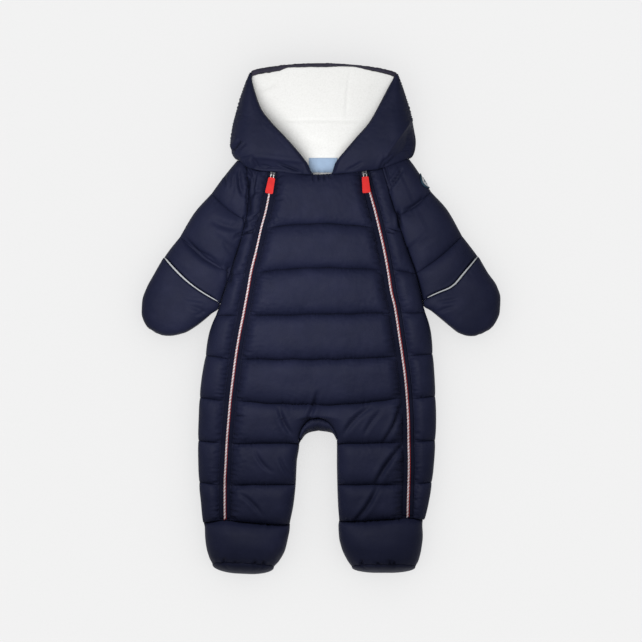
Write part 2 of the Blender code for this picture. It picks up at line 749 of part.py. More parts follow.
def build_mitten(side, table, material, collection):
    wall = Wall()
    above = None
    for step in range(int(table[-1].part / HAND_STEP) + 1):
        ring = add_ring(wall, hand_ring(table, step * HAND_STEP), False)
        if above:
            wall.join(above, ring)
        above = ring
    last = table[-1]
    tip = Vector(((last.inner_x + last.outer_x) / 2, (last.inner_y + last.outer_y) / 2, PARTING))
    wall.close_end(above, (tip + Vector((0, -TIP_SEAM, 0)), tip + Vector((0, TIP_SEAM, 0))))
    return wall.make(side.name + "_mitten", material, collection)


def build_piping(side, table, material, collection):
    """The corded edge of a mitten's mouth, over the top from side to side."""
    ring = [Vector(outer) for outer, _ in hand_ring(table, 0.0)[: RING_POINTS // 2 + 1]]
    across = ring[-1] - ring[0]
    forward = Vector((across.y, -across.x, 0)).normalized() * side.turn
    path = []
    for j in range(1, len(ring) - 1):
        outward = (ring[j + 1] - ring[j - 1]).cross(forward).normalized()
        outward = outward if outward.z > 0 else -outward
        path.append(ring[j] + outward * PIPING_LIFT - forward * PIPING_SETBACK)
    return add_wire(side.name + "_mitten_piping", path, PIPING_RADIUS, False, material, collection)


def boot_ring(side, table, sole_y, part, spread=0.0):
    """A boot section; the ankle one follows the last line of quilting, the sole one leans."""
    left = curve(table, "part", "left")(part) - spread
    right = curve(table, "part", "right")(part) + spread
    top = curve(table, "part", "top")(part) + spread
    outer_x, inner_x = (left, right) if side.name == "left" else (right, left)
    ring = limb_ring((inner_x, 0), (outer_x, 0), 0, top, False)
    points = []
    for pair in ring:
        placed = []
        for x, _, z in pair:
            lean = part ** 2 * (top - z) * sin(SOLE_TILT)
            ankle_y = row_y(FRONT_ROWS[-1], side, x) - BOOT_GAP
            placed.append((x, mix(ankle_y, sole_y, part) - lean, z))
        points.append(tuple(placed))
    return points


def build_boot(side, table, sole_y, material, collection):
    wall = Wall()
    above = None
    for row in table:
        ring = add_ring(wall, boot_ring(side, table, sole_y, row.part), False)
        if above:
            wall.join(above, ring)
        above = ring
    return wall.make(side.name + "_boot", material, collection)


def build_sole(side, table, sole_y, material, collection):
    """A rounded pad that closes the boot: rings from the seam outwards, capped at both ends."""
    vertices = []
    faces = []
    count = RING_POINTS
    seam = table[-1]
    for layer in SOLE_LAYERS:
        for (x, y, z), _ in boot_ring(side, table, sole_y, 1.0, layer.spread)[:-1]:
            out = min(1.0, abs(2 * (x - seam.left) / (seam.right - seam.left) - 1)) ** SOLE_SIDE_POWER
            push = SOLE_GAP + layer.push * (1 - SOLE_SIDE_LOSS * out)
            vertices.append((x, y - push, max(0.0, z)))
    for level in range(len(SOLE_LAYERS) - 1):
        for j in range(count):
            a = level * count + j
            b = level * count + (j + 1) % count
            faces.append((a, b, b + count, a + count))
    faces.append(tuple(range(count))[::-1])
    last = (len(SOLE_LAYERS) - 1) * count
    middle = sum((Vector(v) for v in vertices[last:]), Vector()) / count - Vector((0, SOLE_CENTRE_BULGE, 0))
    vertices.append(tuple(middle))
    for j in range(count):
        faces.append((last + j, last + (j + 1) % count, len(vertices) - 1))
    return add_object(side.name + "_sole", vertices, faces, material, collection)


def hood_values(part):
    return Hood(part, *[curve(HOOD, "part", name)(part) for name in Hood._fields[1:]])


def hood_line(at, share):
    """A place across the hood's back at one section, from the left silhouette to the right."""
    x = mix(at.left_x, at.right_x, share)
    y = mix(at.left_y, at.right_y, share) + at.bow * sin(pi * share)
    neck = smooth_step(at.part - (HOOD[-1].part - 1))
    return x, mix(y, neck_at(x) + HOOD_GAP, neck)


def hood_floor(at, share):
    """Height of the upper face of the hood's back."""
    return PARTING - SEAM_GAP + at.lift - BOWL_DEPTH * sin(pi * share)


def hood_parts():
    steps = int(HOOD[-1].part / HOOD_STEP)
    return [step * HOOD_STEP for step in range(steps + 1)]


def build_hood_back(material, collection):
    wall = Wall()
    above = None
    for part in hood_parts():
        at = hood_values(part)
        width = at.right_x - at.left_x
        points = []
        for share in HOOD_BACK_SHARES:
            x, y = hood_line(at, share)
            side_round = 1 - quarter_round(min(share, 1 - share) * width / BACK_ROUND)
            bottom = mix(max(0.0, at.lift - BRIM_OVERHANG), PARTING - EDGE_RISE + at.lift, side_round)
            points.append(((x, y, bottom), (x, y, hood_floor(at, share))))
        row = wall.add_row(points)
        if above:
            wall.join(above, row)
        above = row
    return wall.make("hood_back", material, collection)


def build_lining(material, collection):
    """Fleece over the hood's back, just clear of the brim, the sides' seams and the neck."""
    wall = Wall()
    above = None
    for part in hood_parts()[1:]:
        at = hood_values(part)
        points = []
        for share in LINING_SHARES:
            x, y = hood_line(at, share)
            floor = hood_floor(at, share) + SEAM_GAP
            points.append(((x, y, floor + LINING_THICKNESS), (x, y, floor)))
        row = wall.add_row(points)
        if above:
            wall.join(above, row)
        above = row
    return wall.make("hood_lining", material, collection)


def hood_side_row(side, part):
    """Points of a hood side, from the silhouette seam over the fold to the free edge."""
    at = hood_values(part)
    fold = Vector((getattr(at, side.name + "_x"), getattr(at, side.name + "_y")))
    edge = Vector((getattr(at, side.name + "_edge_x"), getattr(at, side.name + "_edge_y")))
    width = (edge - fold).length
    radius = min(HOOD_ROUND, HOOD_ROUND_SHARE * width)
    seam_share = min(LIMB_WALL / width, HOOD_SEAM_SHARE)
    base = PARTING + at.lift
    neck = smooth_step(at.part - (HOOD[-1].part - 1))
    sag = at.bow * width / (at.right_x - at.left_x)

    def place_at(share):
        x, y = fold.lerp(edge, share)
        return x, mix(y + sag * sin(pi * share), neck_at(x) + HOOD_GAP, neck)

    points = []
    for share in HOOD_SIDE_SHARES:
        x, y = place_at(share)
        height = mix(base + EDGE_RISE, at.crown, quarter_round(share * width / radius))
        outer = (x, y, height - HOOD_DROP * share ** 2 * (1 - neck))
        inner_share = mix(seam_share, 1.0, share)
        x, y = place_at(inner_share)
        lining = hood_floor(at, (x - at.left_x) / (at.right_x - at.left_x)) + SEAM_GAP + LINING_THICKNESS
        top = max(outer[2] - at.wall, lining + LINING_CLEARANCE)
        reach = quarter_round((inner_share - seam_share) * width / radius)
        height = mix(base, top, reach)
        if reach > 0:
            height = max(height, lining + LINING_CLEARANCE)
        points.append((outer, (x, y, height)))
    return points


def build_hood_side(side, material, collection):
    wall = Wall()
    above = None
    for part in hood_parts():
        row = wall.add_row(hood_side_row(side, part))
        if above:
            wall.join(above, row)
        above = row
    return wall.make(side.name + "_hood_side", material, collection)


def build_brim(material, collection):
    """The turned edge over the forehead, on the top of the hood's back."""
    at = hood_values(0.0)
    section = [(cos(2 * pi * k / BRIM_SIDES), sin(2 * pi * k / BRIM_SIDES)) for k in range(BRIM_SIDES)]
    vertices = []
    faces = []
    for step in range(BRIM_STEPS + 1):
        share = mix(BRIM_INSET, 1 - BRIM_INSET, step / BRIM_STEPS)
        x, y = hood_line(at, share)
        middle = hood_floor(at, share) + SEAM_GAP + BRIM_HEIGHT / 2 - BRIM_SINK
        for cross, up in section:
            vertices.append((x, y - BRIM_WIDTH / 2 + cross * BRIM_WIDTH / 2,
                             middle + up * BRIM_HEIGHT / 2))
    for step in range(BRIM_STEPS):
        for k in range(BRIM_SIDES):
            a = step * BRIM_SIDES + k
            b = step * BRIM_SIDES + (k + 1) % BRIM_SIDES
            faces.append((a, b, b + BRIM_SIDES, a + BRIM_SIDES))
    faces.append(tuple(range(BRIM_SIDES)))
    faces.append(tuple(BRIM_STEPS * BRIM_SIDES + k for k in reversed(range(BRIM_SIDES))))
    return add_object("hood_brim", vertices, faces, material, collection)


def lay_patch(name, starts, toward, target, material, collection):
    """A thin patch dropped on an object: rows of start points are moved until they touch it."""
    depsgraph = bpy.context.evaluated_depsgraph_get()
    tree = BVHTree.FromObject(target, depsgraph)
    wall = Wall()
    above = None
    for start_row in starts:
        points = []
        for start in start_row:
            hit, _, _, _ = tree.ray_cast(start * MM, toward)
            touch = hit / MM
            points.append((touch - toward * (PATCH_GAP + PATCH_THICKNESS), touch - toward * PATCH_GAP))
        row = wall.add_row(points)
        if above:
            wall.join(above, row)
        above = row
    return wall.make(name, material, collection)


def build_label(lining, material, collection):
    columns, rows = LABEL_CELLS
    starts = []
    for i in range(rows + 1):
        y = LABEL_CENTRE[1] + LABEL_LENGTH * (i / rows - 0.5)
        starts.append([Vector((LABEL_CENTRE[0] + LABEL_WIDTH * (j / columns - 0.5), y, PATCH_DROP))
                       for j in range(columns + 1)])
    return lay_patch("neck_label", starts, Vector((0, 0, -1)), lining, material, collection)


def build_badge(sleeve, material, collection):
    """A round patch on the outer edge of the right sleeve, facing up and outwards."""
    ring, _ = arm_ring(SIDES["right"], RIGHT_ARM, BADGE_ARM_PART)
    body_side = Vector(ring[0][0])
    far_side = Vector(ring[RING_POINTS // 2][0])
    centre = body_side.lerp(far_side, BADGE_ACROSS)
    outward = Vector((far_side.x - body_side.x, far_side.y - body_side.y, 0)).normalized()
    toward = -(Vector((0, 0, 1)) * cos(BADGE_TURN) + outward * sin(BADGE_TURN))
    along = outward.cross(Vector((0, 0, 1))).normalized()
    across = toward.cross(along)
    centre.z = PARTING + BADGE_RISE
    starts = []
    steps = [2 * i / BADGE_CELLS - 1 for i in range(BADGE_CELLS + 1)]
    for u in steps:
        starts.append([centre - toward * PATCH_DROP
                       + along * (u * sqrt(1 - v * v / 2) * BADGE_RADIUS)
                       + across * (v * sqrt(1 - u * u / 2) * BADGE_RADIUS) for v in steps])
    return lay_patch("sleeve_badge", starts, toward, sleeve, material, collection)


def zip_line(side):
    """Places along a zip, one for each row of the front, with the ledge's height."""
    places = []
    for row in FRONT_ROWS:
        y = line_y(row, side.name + "_zip")
        places.append((side.zip_at(y), y, PARTING + ledge_rise(row)))
    return places


def sweep(name, places, section, material, collection):
    """A flat closed section carried along a line of places, capped at both ends."""
    count = len(section)
    vertices = [(x + sx, y, z + sz) for x, y, z in places for sx, sz in section]
    faces = []
    for i in range(len(places) - 1):
        for k in range(count):
            a = i * count + k
            b = i * count + (k + 1) % count
            faces.append((a, b, b + count, a + count))
    faces.append(tuple(range(count)))
    faces.append(tuple((len(places) - 1) * count + k for k in reversed(range(count))))
    return add_object(name, vertices, faces, material, collection)


def build_zip(side, tape_material, coil_material, collection):
    half = TAPE_WIDTH / 2
    low = SEAM_GAP
    high = low + TAPE_THICKNESS
    places = zip_line(side)
    sweep(side.name + "_zip_tape", places, ((-half, low), (half, low), (half, high), (-half, high)),
          tape_material, collection)
    half = COIL_WIDTH / 2
    low = high + SEAM_GAP
    high = low + COIL_HEIGHT
    section = ((-half, low), (half, low), (half * COIL_TOP_SHARE, high), (-half * COIL_TOP_SHARE, high))
    sweep(side.name + "_zip_coil", places[COIL_START_ROW:], section, coil_material, collection)


def add_wire(name, points, radius, cyclic, material, collection):
    wire = bpy.data.curves.new(name, "CURVE")
    wire.dimensions = "3D"
    wire.bevel_depth = radius * MM
    wire.bevel_resolution = 1
    wire.use_fill_caps = not cyclic
    line = wire.splines.new("POLY")
    line.points.add(len(points) - 1)
    line.use_cyclic_u = cyclic
    for point, place in zip(line.points, points):
        point.co = (*(Vector(place) * MM), 1.0)
    wire.materials.append(material)
    thing = bpy.data.objects.new(name, wire)
    collection.objects.link(thing)
    return thing


def as_mesh(thing, collection):
    """A wire made a mesh with its caps welded, so that it can be joined to another piece."""
    bpy.context.view_layer.update()
    evaluated = thing.evaluated_get(bpy.context.evaluated_depsgraph_get())
    mesh = bpy.data.meshes.new_from_object(evaluated)
    shape = bmesh.new()
    shape.from_mesh(mesh)
    bmesh.ops.remove_doubles(shape, verts=shape.verts, dist=1e-6)
    shape.to_mesh(mesh)
    shape.free()
    name = thing.name
    place = thing.matrix_world.copy()
    bpy.data.objects.remove(thing, do_unlink=True)
    solid = bpy.data.objects.new(name, mesh)
    solid.matrix_world = place
    collection.objects.link(solid)
    return solid


def slider_floor():
    return PARTING + ZIP_RISE + SEAM_GAP + TAPE_THICKNESS + SEAM_GAP


def add_box(name, size, centre, material, collection):
    mesh = bpy.data.meshes.new(name)
    shape = bmesh.new()
    bmesh.ops.create_cube(shape, size=1.0)
    bmesh.ops.scale(shape, vec=Vector(size) * MM, verts=shape.verts)
    bmesh.ops.translate(shape, vec=Vector(centre) * MM, verts=shape.verts)
    shape.to_mesh(mesh)
    shape.free()
    if material:
        mesh.materials.append(material)
    thing = bpy.data.objects.new(name, mesh)
    collection.objects.link(thing)
    return thing


def add_bevel(thing, width, segments):
    bevel = thing.modifiers.new("rounded", "BEVEL")
    bevel.width = width * MM
    bevel.segments = segments


def add_boolean(thing, other, operation):
    cut = thing.modifiers.new(operation.lower(), "BOOLEAN")
    cut.operation = operation
    cut.object = other
    other.hide_render = True
    other.display_type = "WIRE"


def build_slider(side, pull, material, collection, helpers):
    """The slider stands on the tape at the head of its coil, with a bail over the link's bar."""
    body = add_box(side.name + "_slider", (SLIDER_WIDTH, SLIDER_LENGTH, SLIDER_HEIGHT),
                   (0, 0, SLIDER_HEIGHT / 2), material, collection)
    add_bevel(body, SLIDER_BEVEL, 2)
    half = BAIL_SPAN / 2
    root = SLIDER_HEIGHT / 2
    shoulder = SLIDER_HEIGHT + BAIL_HEIGHT * BAIL_SHOULDER
    top = SLIDER_HEIGHT + BAIL_HEIGHT
    flat = half * BAIL_SHOULDER
    bail_points = [(0, -half, root), (0, -half, shoulder), (0, -flat, top),
                   (0, flat, top), (0, half, shoulder), (0, half, root)]
    bail = as_mesh(add_wire(side.name + "_bail", bail_points, BAIL_RADIUS, False, material, helpers), helpers)
    for thing in (body, bail):
        thing.location = Vector((pull.x, pull.y, slider_floor())) * MM
        thing.rotation_euler = (0, 0, pull.zip_heading)
    add_boolean(body, bail, "UNION")


def build_pull(side, pull, link_material, tab_material, collection, helpers):
    """The link and its rubber tab, built down -Y from the link's upper bar, which is the pivot."""
    pivot = bpy.data.objects.new(side.name + "_pull_pivot", None)
    height = slider_floor() + SLIDER_HEIGHT + PIVOT_ABOVE_SLIDER
    pivot.location = Vector((pull.x, pull.y, height)) * MM
    pivot.rotation_euler = (0, 0, pull.heading)
    collection.objects.link(pivot)
    half = LINK_WIDTH / 2
    near = half - LINK_CORNER
    far = LINK_CORNER - LINK_LENGTH
    ring = [(-near, 0, 0), (near, 0, 0), (half, -LINK_CORNER, 0), (half, far, 0),
            (near, -LINK_LENGTH, 0), (-near, -LINK_LENGTH, 0), (-half, far, 0), (-half, -LINK_CORNER, 0)]
    link = add_wire(side.name + "_pull_link", ring, LINK_RADIUS, True, link_material, collection)
    tab = build_tab(side, tab_material, collection)
    pocket = add_box(side.name + "_pocket", (POCKET_WIDTH, 2 * POCKET_DEPTH, POCKET_HEIGHT),
                     (0, -TAB_START, 0), None, helpers)
    add_boolean(tab, pocket, "DIFFERENCE")
    for thing in (link, tab, pocket):
        thing.parent = pivot


def build_tab(side, material, collection):
    """A flat tapered tab with rounded corners, as an outline with thickness."""
    far = -TAB_START - TAB_LENGTH
    corners = ((-TAB_TOP_WIDTH / 2, -TAB_START), (TAB_TOP_WIDTH / 2, -TAB_START),
               (TAB_END_WIDTH / 2, far), (-TAB_END_WIDTH / 2, far))
    points = []
    for index, corner in enumerate(corners):
        here = Vector(corner)
        before = (Vector(corners[index - 1]) - here).normalized()
        after = (Vector(corners[(index + 1) % 4]) - here).normalized()
        bend = here + (before + after) * TAB_CORNER * TAB_CORNER_BEND
        points += [here + before * TAB_CORNER, bend, here + after * TAB_CORNER]
    flat = bpy.data.curves.new(side.name + "_pull_tab", "CURVE")
    flat.dimensions = "2D"
    flat.fill_mode = "BOTH"
    flat.extrude = TAB_THICKNESS / 2 * MM
    line = flat.splines.new("POLY")
    line.points.add(len(points) - 1)
    line.use_cyclic_u = True
    for point, place in zip(line.points, points):
        point.co = (place.x * MM, place.y * MM, 0, 1)
    flat.materials.append(material)
    thing = bpy.data.objects.new(side.name + "_pull_tab", flat)
    collection.objects.link(thing)
    return as_mesh(thing, collection)


def main():
    clear_scene()
    suit = make_collection("baby_snowsuit")
    helpers = make_collection("helpers")
    shell = make_material("navy_shell", NAVY, 0.5)
    fleece = make_material("fleece", FLEECE, 0.95)
    red = make_material("red_rubber", RED, 0.45)
    silver = make_material("silver_metal", SILVER, 0.25, 1.0)
    blue = make_material("label_tape", LABEL_BLUE, 0.7)
    white = make_material("pale_piping", PIPING_WHITE, 0.5)
    stripe = make_material("striped_coil", COIL_STRIPE, 0.5)
    build_back(shell, suit)
    build_front_centre(shell, suit)
    build_gusset(shell, suit)
    build_hood_back(shell, suit)
    build_brim(shell, suit)
    lining = build_lining(fleece, suit)
    build_label(lining, blue, suit)
    limbs = (("left", LEFT_ARM, LEFT_HAND, LEFT_BOOT, LEFT_SOLE_Y),
             ("right", RIGHT_ARM, RIGHT_HAND, RIGHT_BOOT, RIGHT_SOLE_Y))
    for name, arm, hand, boot, sole_y in limbs:
        side = SIDES[name]
        build_side_front(side, shell, suit)
        build_zip(side, shell, stripe, suit)
        build_hood_side(side, shell, suit)
        sleeve = build_sleeve(side, arm, shell, suit)
        build_mitten(side, hand, shell, suit)
        build_piping(side, hand, white, suit)
        build_boot(side, boot, sole_y, shell, suit)
        build_sole(side, boot, sole_y, shell, suit)
        build_slider(side, PULLS[name], silver, suit, helpers)
        build_pull(side, PULLS[name], silver, red, suit, helpers)
    build_badge(sleeve, blue, suit)


main()
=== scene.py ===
"""The looks of a baby's quilted snowsuit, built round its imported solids.

Sizes are in millimetres and become metres when a mesh is made. +X is to the right as one looks
down on the front, +Y runs from the feet to the hood, +Z is up, and the suit lies on z = 0.
"""
from collections import namedtuple
from math import copysign, cos, exp, hypot, pi, radians, sin, sqrt

import bmesh
import bpy
import numpy as np
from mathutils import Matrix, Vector, noise
from mathutils.bvhtree import BVHTree


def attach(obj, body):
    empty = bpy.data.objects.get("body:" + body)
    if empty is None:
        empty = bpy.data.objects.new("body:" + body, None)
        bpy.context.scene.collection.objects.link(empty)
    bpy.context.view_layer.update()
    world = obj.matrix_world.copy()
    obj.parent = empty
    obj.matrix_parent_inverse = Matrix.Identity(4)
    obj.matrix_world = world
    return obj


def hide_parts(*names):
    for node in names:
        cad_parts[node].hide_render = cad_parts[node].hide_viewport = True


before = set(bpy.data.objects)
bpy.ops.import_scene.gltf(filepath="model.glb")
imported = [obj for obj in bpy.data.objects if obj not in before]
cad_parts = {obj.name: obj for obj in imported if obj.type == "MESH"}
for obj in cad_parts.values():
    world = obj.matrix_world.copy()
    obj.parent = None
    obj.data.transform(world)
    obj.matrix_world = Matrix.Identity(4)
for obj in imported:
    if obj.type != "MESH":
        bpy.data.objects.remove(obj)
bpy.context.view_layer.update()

MM = 0.001


def table_of(kind, *values):
    """A table with named columns: a row for each section, line or fold."""
    return tuple(kind(*row) for row in values)


# Layers of padded cloth: the back lies under the parting height, the front on top of it.
PARTING = 17.0
SEAM_GAP = 0.3
SEAM_RISE = 11.5
EDGE_RISE = 4.0
ARMHOLE_RISE = 8.0
EDGE_ROUND = 24.0
BACK_ROUND = 20.0
ARMPIT_Y = 103.0
ARMPIT_BLEND = 14.0
SCALLOP = 1.4
SCALLOP_TOP_Y = 14.0
SCALLOP_BLEND = 20.0

# The fork between the legs lies in one pillow, where the rows crowd round its arch.
FORK_CHANNEL = 5
FORK_PART_FRONT = 0.315
FORK_PART_BACK = 0.676
CENTRE_X = -4.0

# Crotch gusset, from the front's arch to the brink of the gap between the legs.
GUSSET_GAP = 0.5
GUSSET_CROWN = 19.0

# Zips: a level ledge beside each carries the tape and swells a little with the channels.
ZIP_RISE = 12.0
ZIP_SWELL = 3.0
PUFF_POWER = 2.4
ZIP_SLOT = 1.6
ZIP_LEDGE = 8.5
LEDGE_MIDDLE = 0.55
ZIP_RAMP = 17.0
TAPE_WIDTH = 15.0
TAPE_THICKNESS = 1.2
TAPE_TOP = SEAM_GAP + TAPE_THICKNESS
COIL_HEIGHT = 2.2
COIL_START_ROW = 1

# Hood: its sides fold over from the silhouette, its brim stands on the back's top edge.
HOOD_GAP = 0.2
HOOD_ROUND_SHARE = 0.6
HOOD_ROUND = 34.0
HOOD_SEAM_SHARE = 0.42
HOOD_DROP = 5.0
BOWL_DEPTH = 5.0
BRIM_HEIGHT = 8.0
BRIM_INSET = 0.006
BRIM_SINK = 1.1
BRIM_OVERHANG = 6.0
BRIM_LOWER = 0.8
BRIM_POWER = 0.7
LINING_THICKNESS = 3.0
LINING_CLEARANCE = 1.2
LINING_FOOT = 0.055

# Thin patches: the neck label on the lining and the round badge on the right sleeve. Rays that
# start PATCH_DROP off find the cloth under them.
PATCH_GAP = 0.6
PATCH_DROP = 200.0
LABEL_WIDTH = 41.0
LABEL_LENGTH = 21.0
LABEL_CENTRE = (3.0, 221.5)
BADGE_RADIUS = 12.5
BADGE_TURN = radians(80.0)
BADGE_ARM_PART = 0.72
BADGE_ACROSS = 1.0
BADGE_RISE = 4.5
BADGE_THICK = 0.7
BADGE_RELIEF = 0.45
STAR_TWIG = 0.34

# Flattened padded tubes, sleeves, mittens and boots, each folded round a narrow slit.
RING_POWER = 0.82
HAND_POWER = 0.66
ARM_LEAN = 0.24
UNDERSIDE_FULLNESS = 1.35
LIMB_WALL = 7.0
LIMB_GAP = 0.35
HALF_SLIT = 0.3
SLIT_RAMP = 3.0
ARM_CHANNELS = 3
ARM_SCALLOP = 0.8
CUFF_RISE = 5.5
TIP_SEAM = 1.5
PIPING_RADIUS = 1.2
PIPING_LIFT = 1.5
PIPING_SETBACK = 1.9
BOOT_GAP = 0.4
SOLE_GAP = 0.5
SOLE_TILT = radians(11.0)
SOLE_CENTRE_BULGE = 0.25
SOLE_Y = {"left": -349.0, "right": -353.0}
ANKLE_RISE = {"left": 0.0, "right": 5.0}

Body = namedtuple("Body", "y left left_zip right_zip right")
BODY = table_of(Body,
    (217.0, -108.0, -69.0, 61.5, 88.5), (186.5, -104.5, -73.5, 69.0, 97.0),
    (157.5, -106.0, -79.0, 77.0, 106.0), (131.0, -111.5, -86.0, 83.5, 114.5),
    (99.5, -120.0, -93.0, 90.5, 124.5), (67.5, -130.5, -101.0, 96.5, 136.0),
    (38.5, -140.0, -106.0, 101.0, 144.0), (20.0, -146.0, -109.5, 105.5, 147.5),
    (6.5, -151.0, -112.0, 108.0, 151.0), (-24.0, -161.0, -118.0, 112.5, 158.0),
    (-57.5, -166.5, -123.5, 117.5, 161.0), (-89.0, -171.5, -127.5, 121.5, 163.0),
    (-118.0, -174.5, -131.0, 124.0, 164.5), (-147.0, -175.5, -133.5, 125.5, 165.0),
    (-177.5, -176.5, -136.0, 126.0, 164.0), (-208.0, -176.0, -137.5, 126.5, 162.0),
    (-238.5, -175.0, -139.0, 126.0, 159.0), (-267.5, -172.0, -139.0, 125.0, 154.0),
    (-300.0, -169.5, -138.5, 124.5, 146.5),
)

# Inner edges of the legs; above the first row a panel is whole and its halves share the centre.
Fork = namedtuple("Fork", "y left right")
LEG_FORK = table_of(Fork,
    (-182.0, -31.5, 23.0), (-208.0, -35.0, 23.0), (-238.5, -36.5, 23.5), (-267.5, -39.5, 24.5),
    (-300.0, -46.0, 27.0),
)
FRONT_FORK = table_of(Fork,
    (-142.0, CENTRE_X, CENTRE_X), (-145.5, -16.0, 6.0), (-151.0, -23.0, 13.0), (-160.0, -29.0, 19.0),
    (-172.0, -32.0, 23.0),
) + LEG_FORK
BACK_FORK = table_of(Fork,
    (-162.0, CENTRE_X, CENTRE_X), (-164.7, -17.5, 15.0), (-169.0, -24.0, 20.5), (-175.5, -28.5, 23.0),
) + LEG_FORK

# Lines of quilting across the front, from the neck to the boots, and the pillow below each.
# "inner" is the centre of the body, and the inner leg edge below the crotch.
Quilt = namedtuple("Quilt", "left_edge left_zip inner right_zip right_edge crown")
QUILT = table_of(Quilt,
    (219.8, 211.9, 207.5, 212.9, 217.2, 23.0), (116.5, 130.0, 137.0, 130.5, 124.5, 26.0),
    (62.0, 66.0, 73.0, 70.5, 64.0, 27.5), (5.0, 3.5, 6.0, 8.5, 8.0, 28.0),
    (-53.5, -58.5, -59.5, -54.5, -51.0, 28.0), (-114.5, -119.0, -124.5, -115.5, -113.0, 27.0),
    (-176.5, -180.0, -180.0, -179.0, -175.5, 26.0), (-236.5, -240.0, -240.5, -240.0, -236.5, 26.0),
    (-294.5, -291.0, -297.0, -287.5, -290.5, 0.0),
)

# Neckline, where the hood meets the body, and the right hood side a little higher than the left.
Neck = namedtuple("Neck", "x y")
NECK = table_of(Neck,
    (-119.0, 230.0), (-107.0, 219.0), (-94.0, 214.5), (-80.0, 212.3),
    (-69.0, 211.9), (-58.0, 211.5), (-35.0, 208.5), (-4.0, 207.5),
    (30.0, 209.4), (48.0, 211.3), (61.5, 212.9), (74.0, 214.4),
    (88.0, 217.0), (109.0, 224.5), (127.0, 231.5),
)

# Sleeves: sections from the neck to the cuff. Whole parts are lines of quilting; the inner edge
# lies along the body's own edge. "bow" carries the section towards the hand at its middle.
Arm = namedtuple("Arm", "part outer_x outer_y inner_y crown bow")
ARMS = {"left": table_of(Arm,
    (0.0, -121.0, 228.9, 217.7, 20.0, -2.2), (0.5, -138.0, 207.5, 183.5, 22.0, 2.0),
    (1.0, -158.5, 181.0, 141.5, 23.0, 3.0), (1.5, -182.5, 153.0, 103.5, 24.0, 3.0),
    (2.0, -204.5, 118.0, 65.0, 24.0, 3.0), (2.5, -218.0, 100.0, 41.5, 23.0, 5.0),
    (3.0, -227.5, 87.5, 21.5, 22.0, 6.2),
), "right": table_of(Arm,
    (0.0, 127.5, 231.0, 216.6, 20.0, -1.2),
    (0.5, 142.0, 209.5, 185.0, 22.0, 2.0),
    (1.0, 159.5, 183.5, 147.0, 23.0, 3.0),
    (1.5, 182.0, 157.5, 105.0, 24.0, 3.0),
    (2.0, 204.5, 119.5, 65.0, 24.0, 3.0),
    (2.5, 216.0, 103.5, 44.0, 23.0, 5.0),
    (3.0, 227.5, 89.0, 25.5, 22.0, 8.0),
)}

# Mittens: sections from the mouth to the closed end.
Hand = namedtuple("Hand", "part outer_x outer_y inner_x inner_y top bow")
HANDS = {"left": table_of(Hand,
    (0.0, -227.8, 87.6, -146.2, 21.4, 36.0, 6.2),
    (0.4, -232.7, 78.9, -148.5, 14.4, 37.8, 5.4),
    (1.0, -240.0, 66.0, -158.0, 7.5, 40.0, 4.0),
    (2.0, -251.5, 45.0, -168.5, -1.5, 41.5, 2.0),
    (3.0, -258.0, 25.5, -181.5, -11.5, 41.5, 0.0),
    (4.0, -259.0, 8.0, -198.5, -21.0, 40.0, 0.0),
    (5.0, -253.5, -8.0, -217.5, -25.0, 35.0, 0.0),
    (6.0, -247.0, -15.0, -231.0, -23.5, 27.0, 0.0),
), "right": table_of(Hand,
    (0.0, 227.8, 89.0, 147.0, 25.45, 36.0, 8.0),
    (0.4, 232.9, 80.2, 148.7, 18.2, 38.0, 6.8),
    (1.0, 240.5, 67.0, 159.0, 11.5, 40.0, 5.0),
    (2.0, 254.0, 47.0, 171.5, 1.5, 42.0, 2.0),
    (3.0, 259.0, 29.5, 186.5, -11.0, 41.5, 0.0),
    (4.0, 258.0, 9.5, 200.0, -21.0, 39.0, 0.0),
    (5.0, 250.0, -8.5, 213.0, -24.8, 35.0, 0.0),
    (6.0, 241.0, -17.0, 224.5, -24.0, 27.0, 0.0),
)}

# Boots: sections from the ankle seam to the sole seam, as shares of the way between them.
Boot = namedtuple("Boot", "part left right top")
BOOTS = {"left": table_of(Boot,
    (0.0, -169.5, -45.0, 28.0),
    (0.12, -168.0, -45.3, 41.0),
    (0.35, -167.5, -47.8, 49.0),
    (0.62, -165.5, -52.0, 52.0),
    (0.85, -161.5, -60.0, 50.0),
    (1.0, -157.0, -68.0, 45.5),
), "right": table_of(Boot,
    (0.0, 26.5, 147.0, 28.0),
    (0.12, 25.2, 146.5, 41.0),
    (0.35, 25.9, 147.2, 49.0),
    (0.62, 30.0, 145.2, 52.0),
    (0.85, 37.5, 141.5, 50.0),
    (1.0, 44.5, 136.5, 45.5),
)}

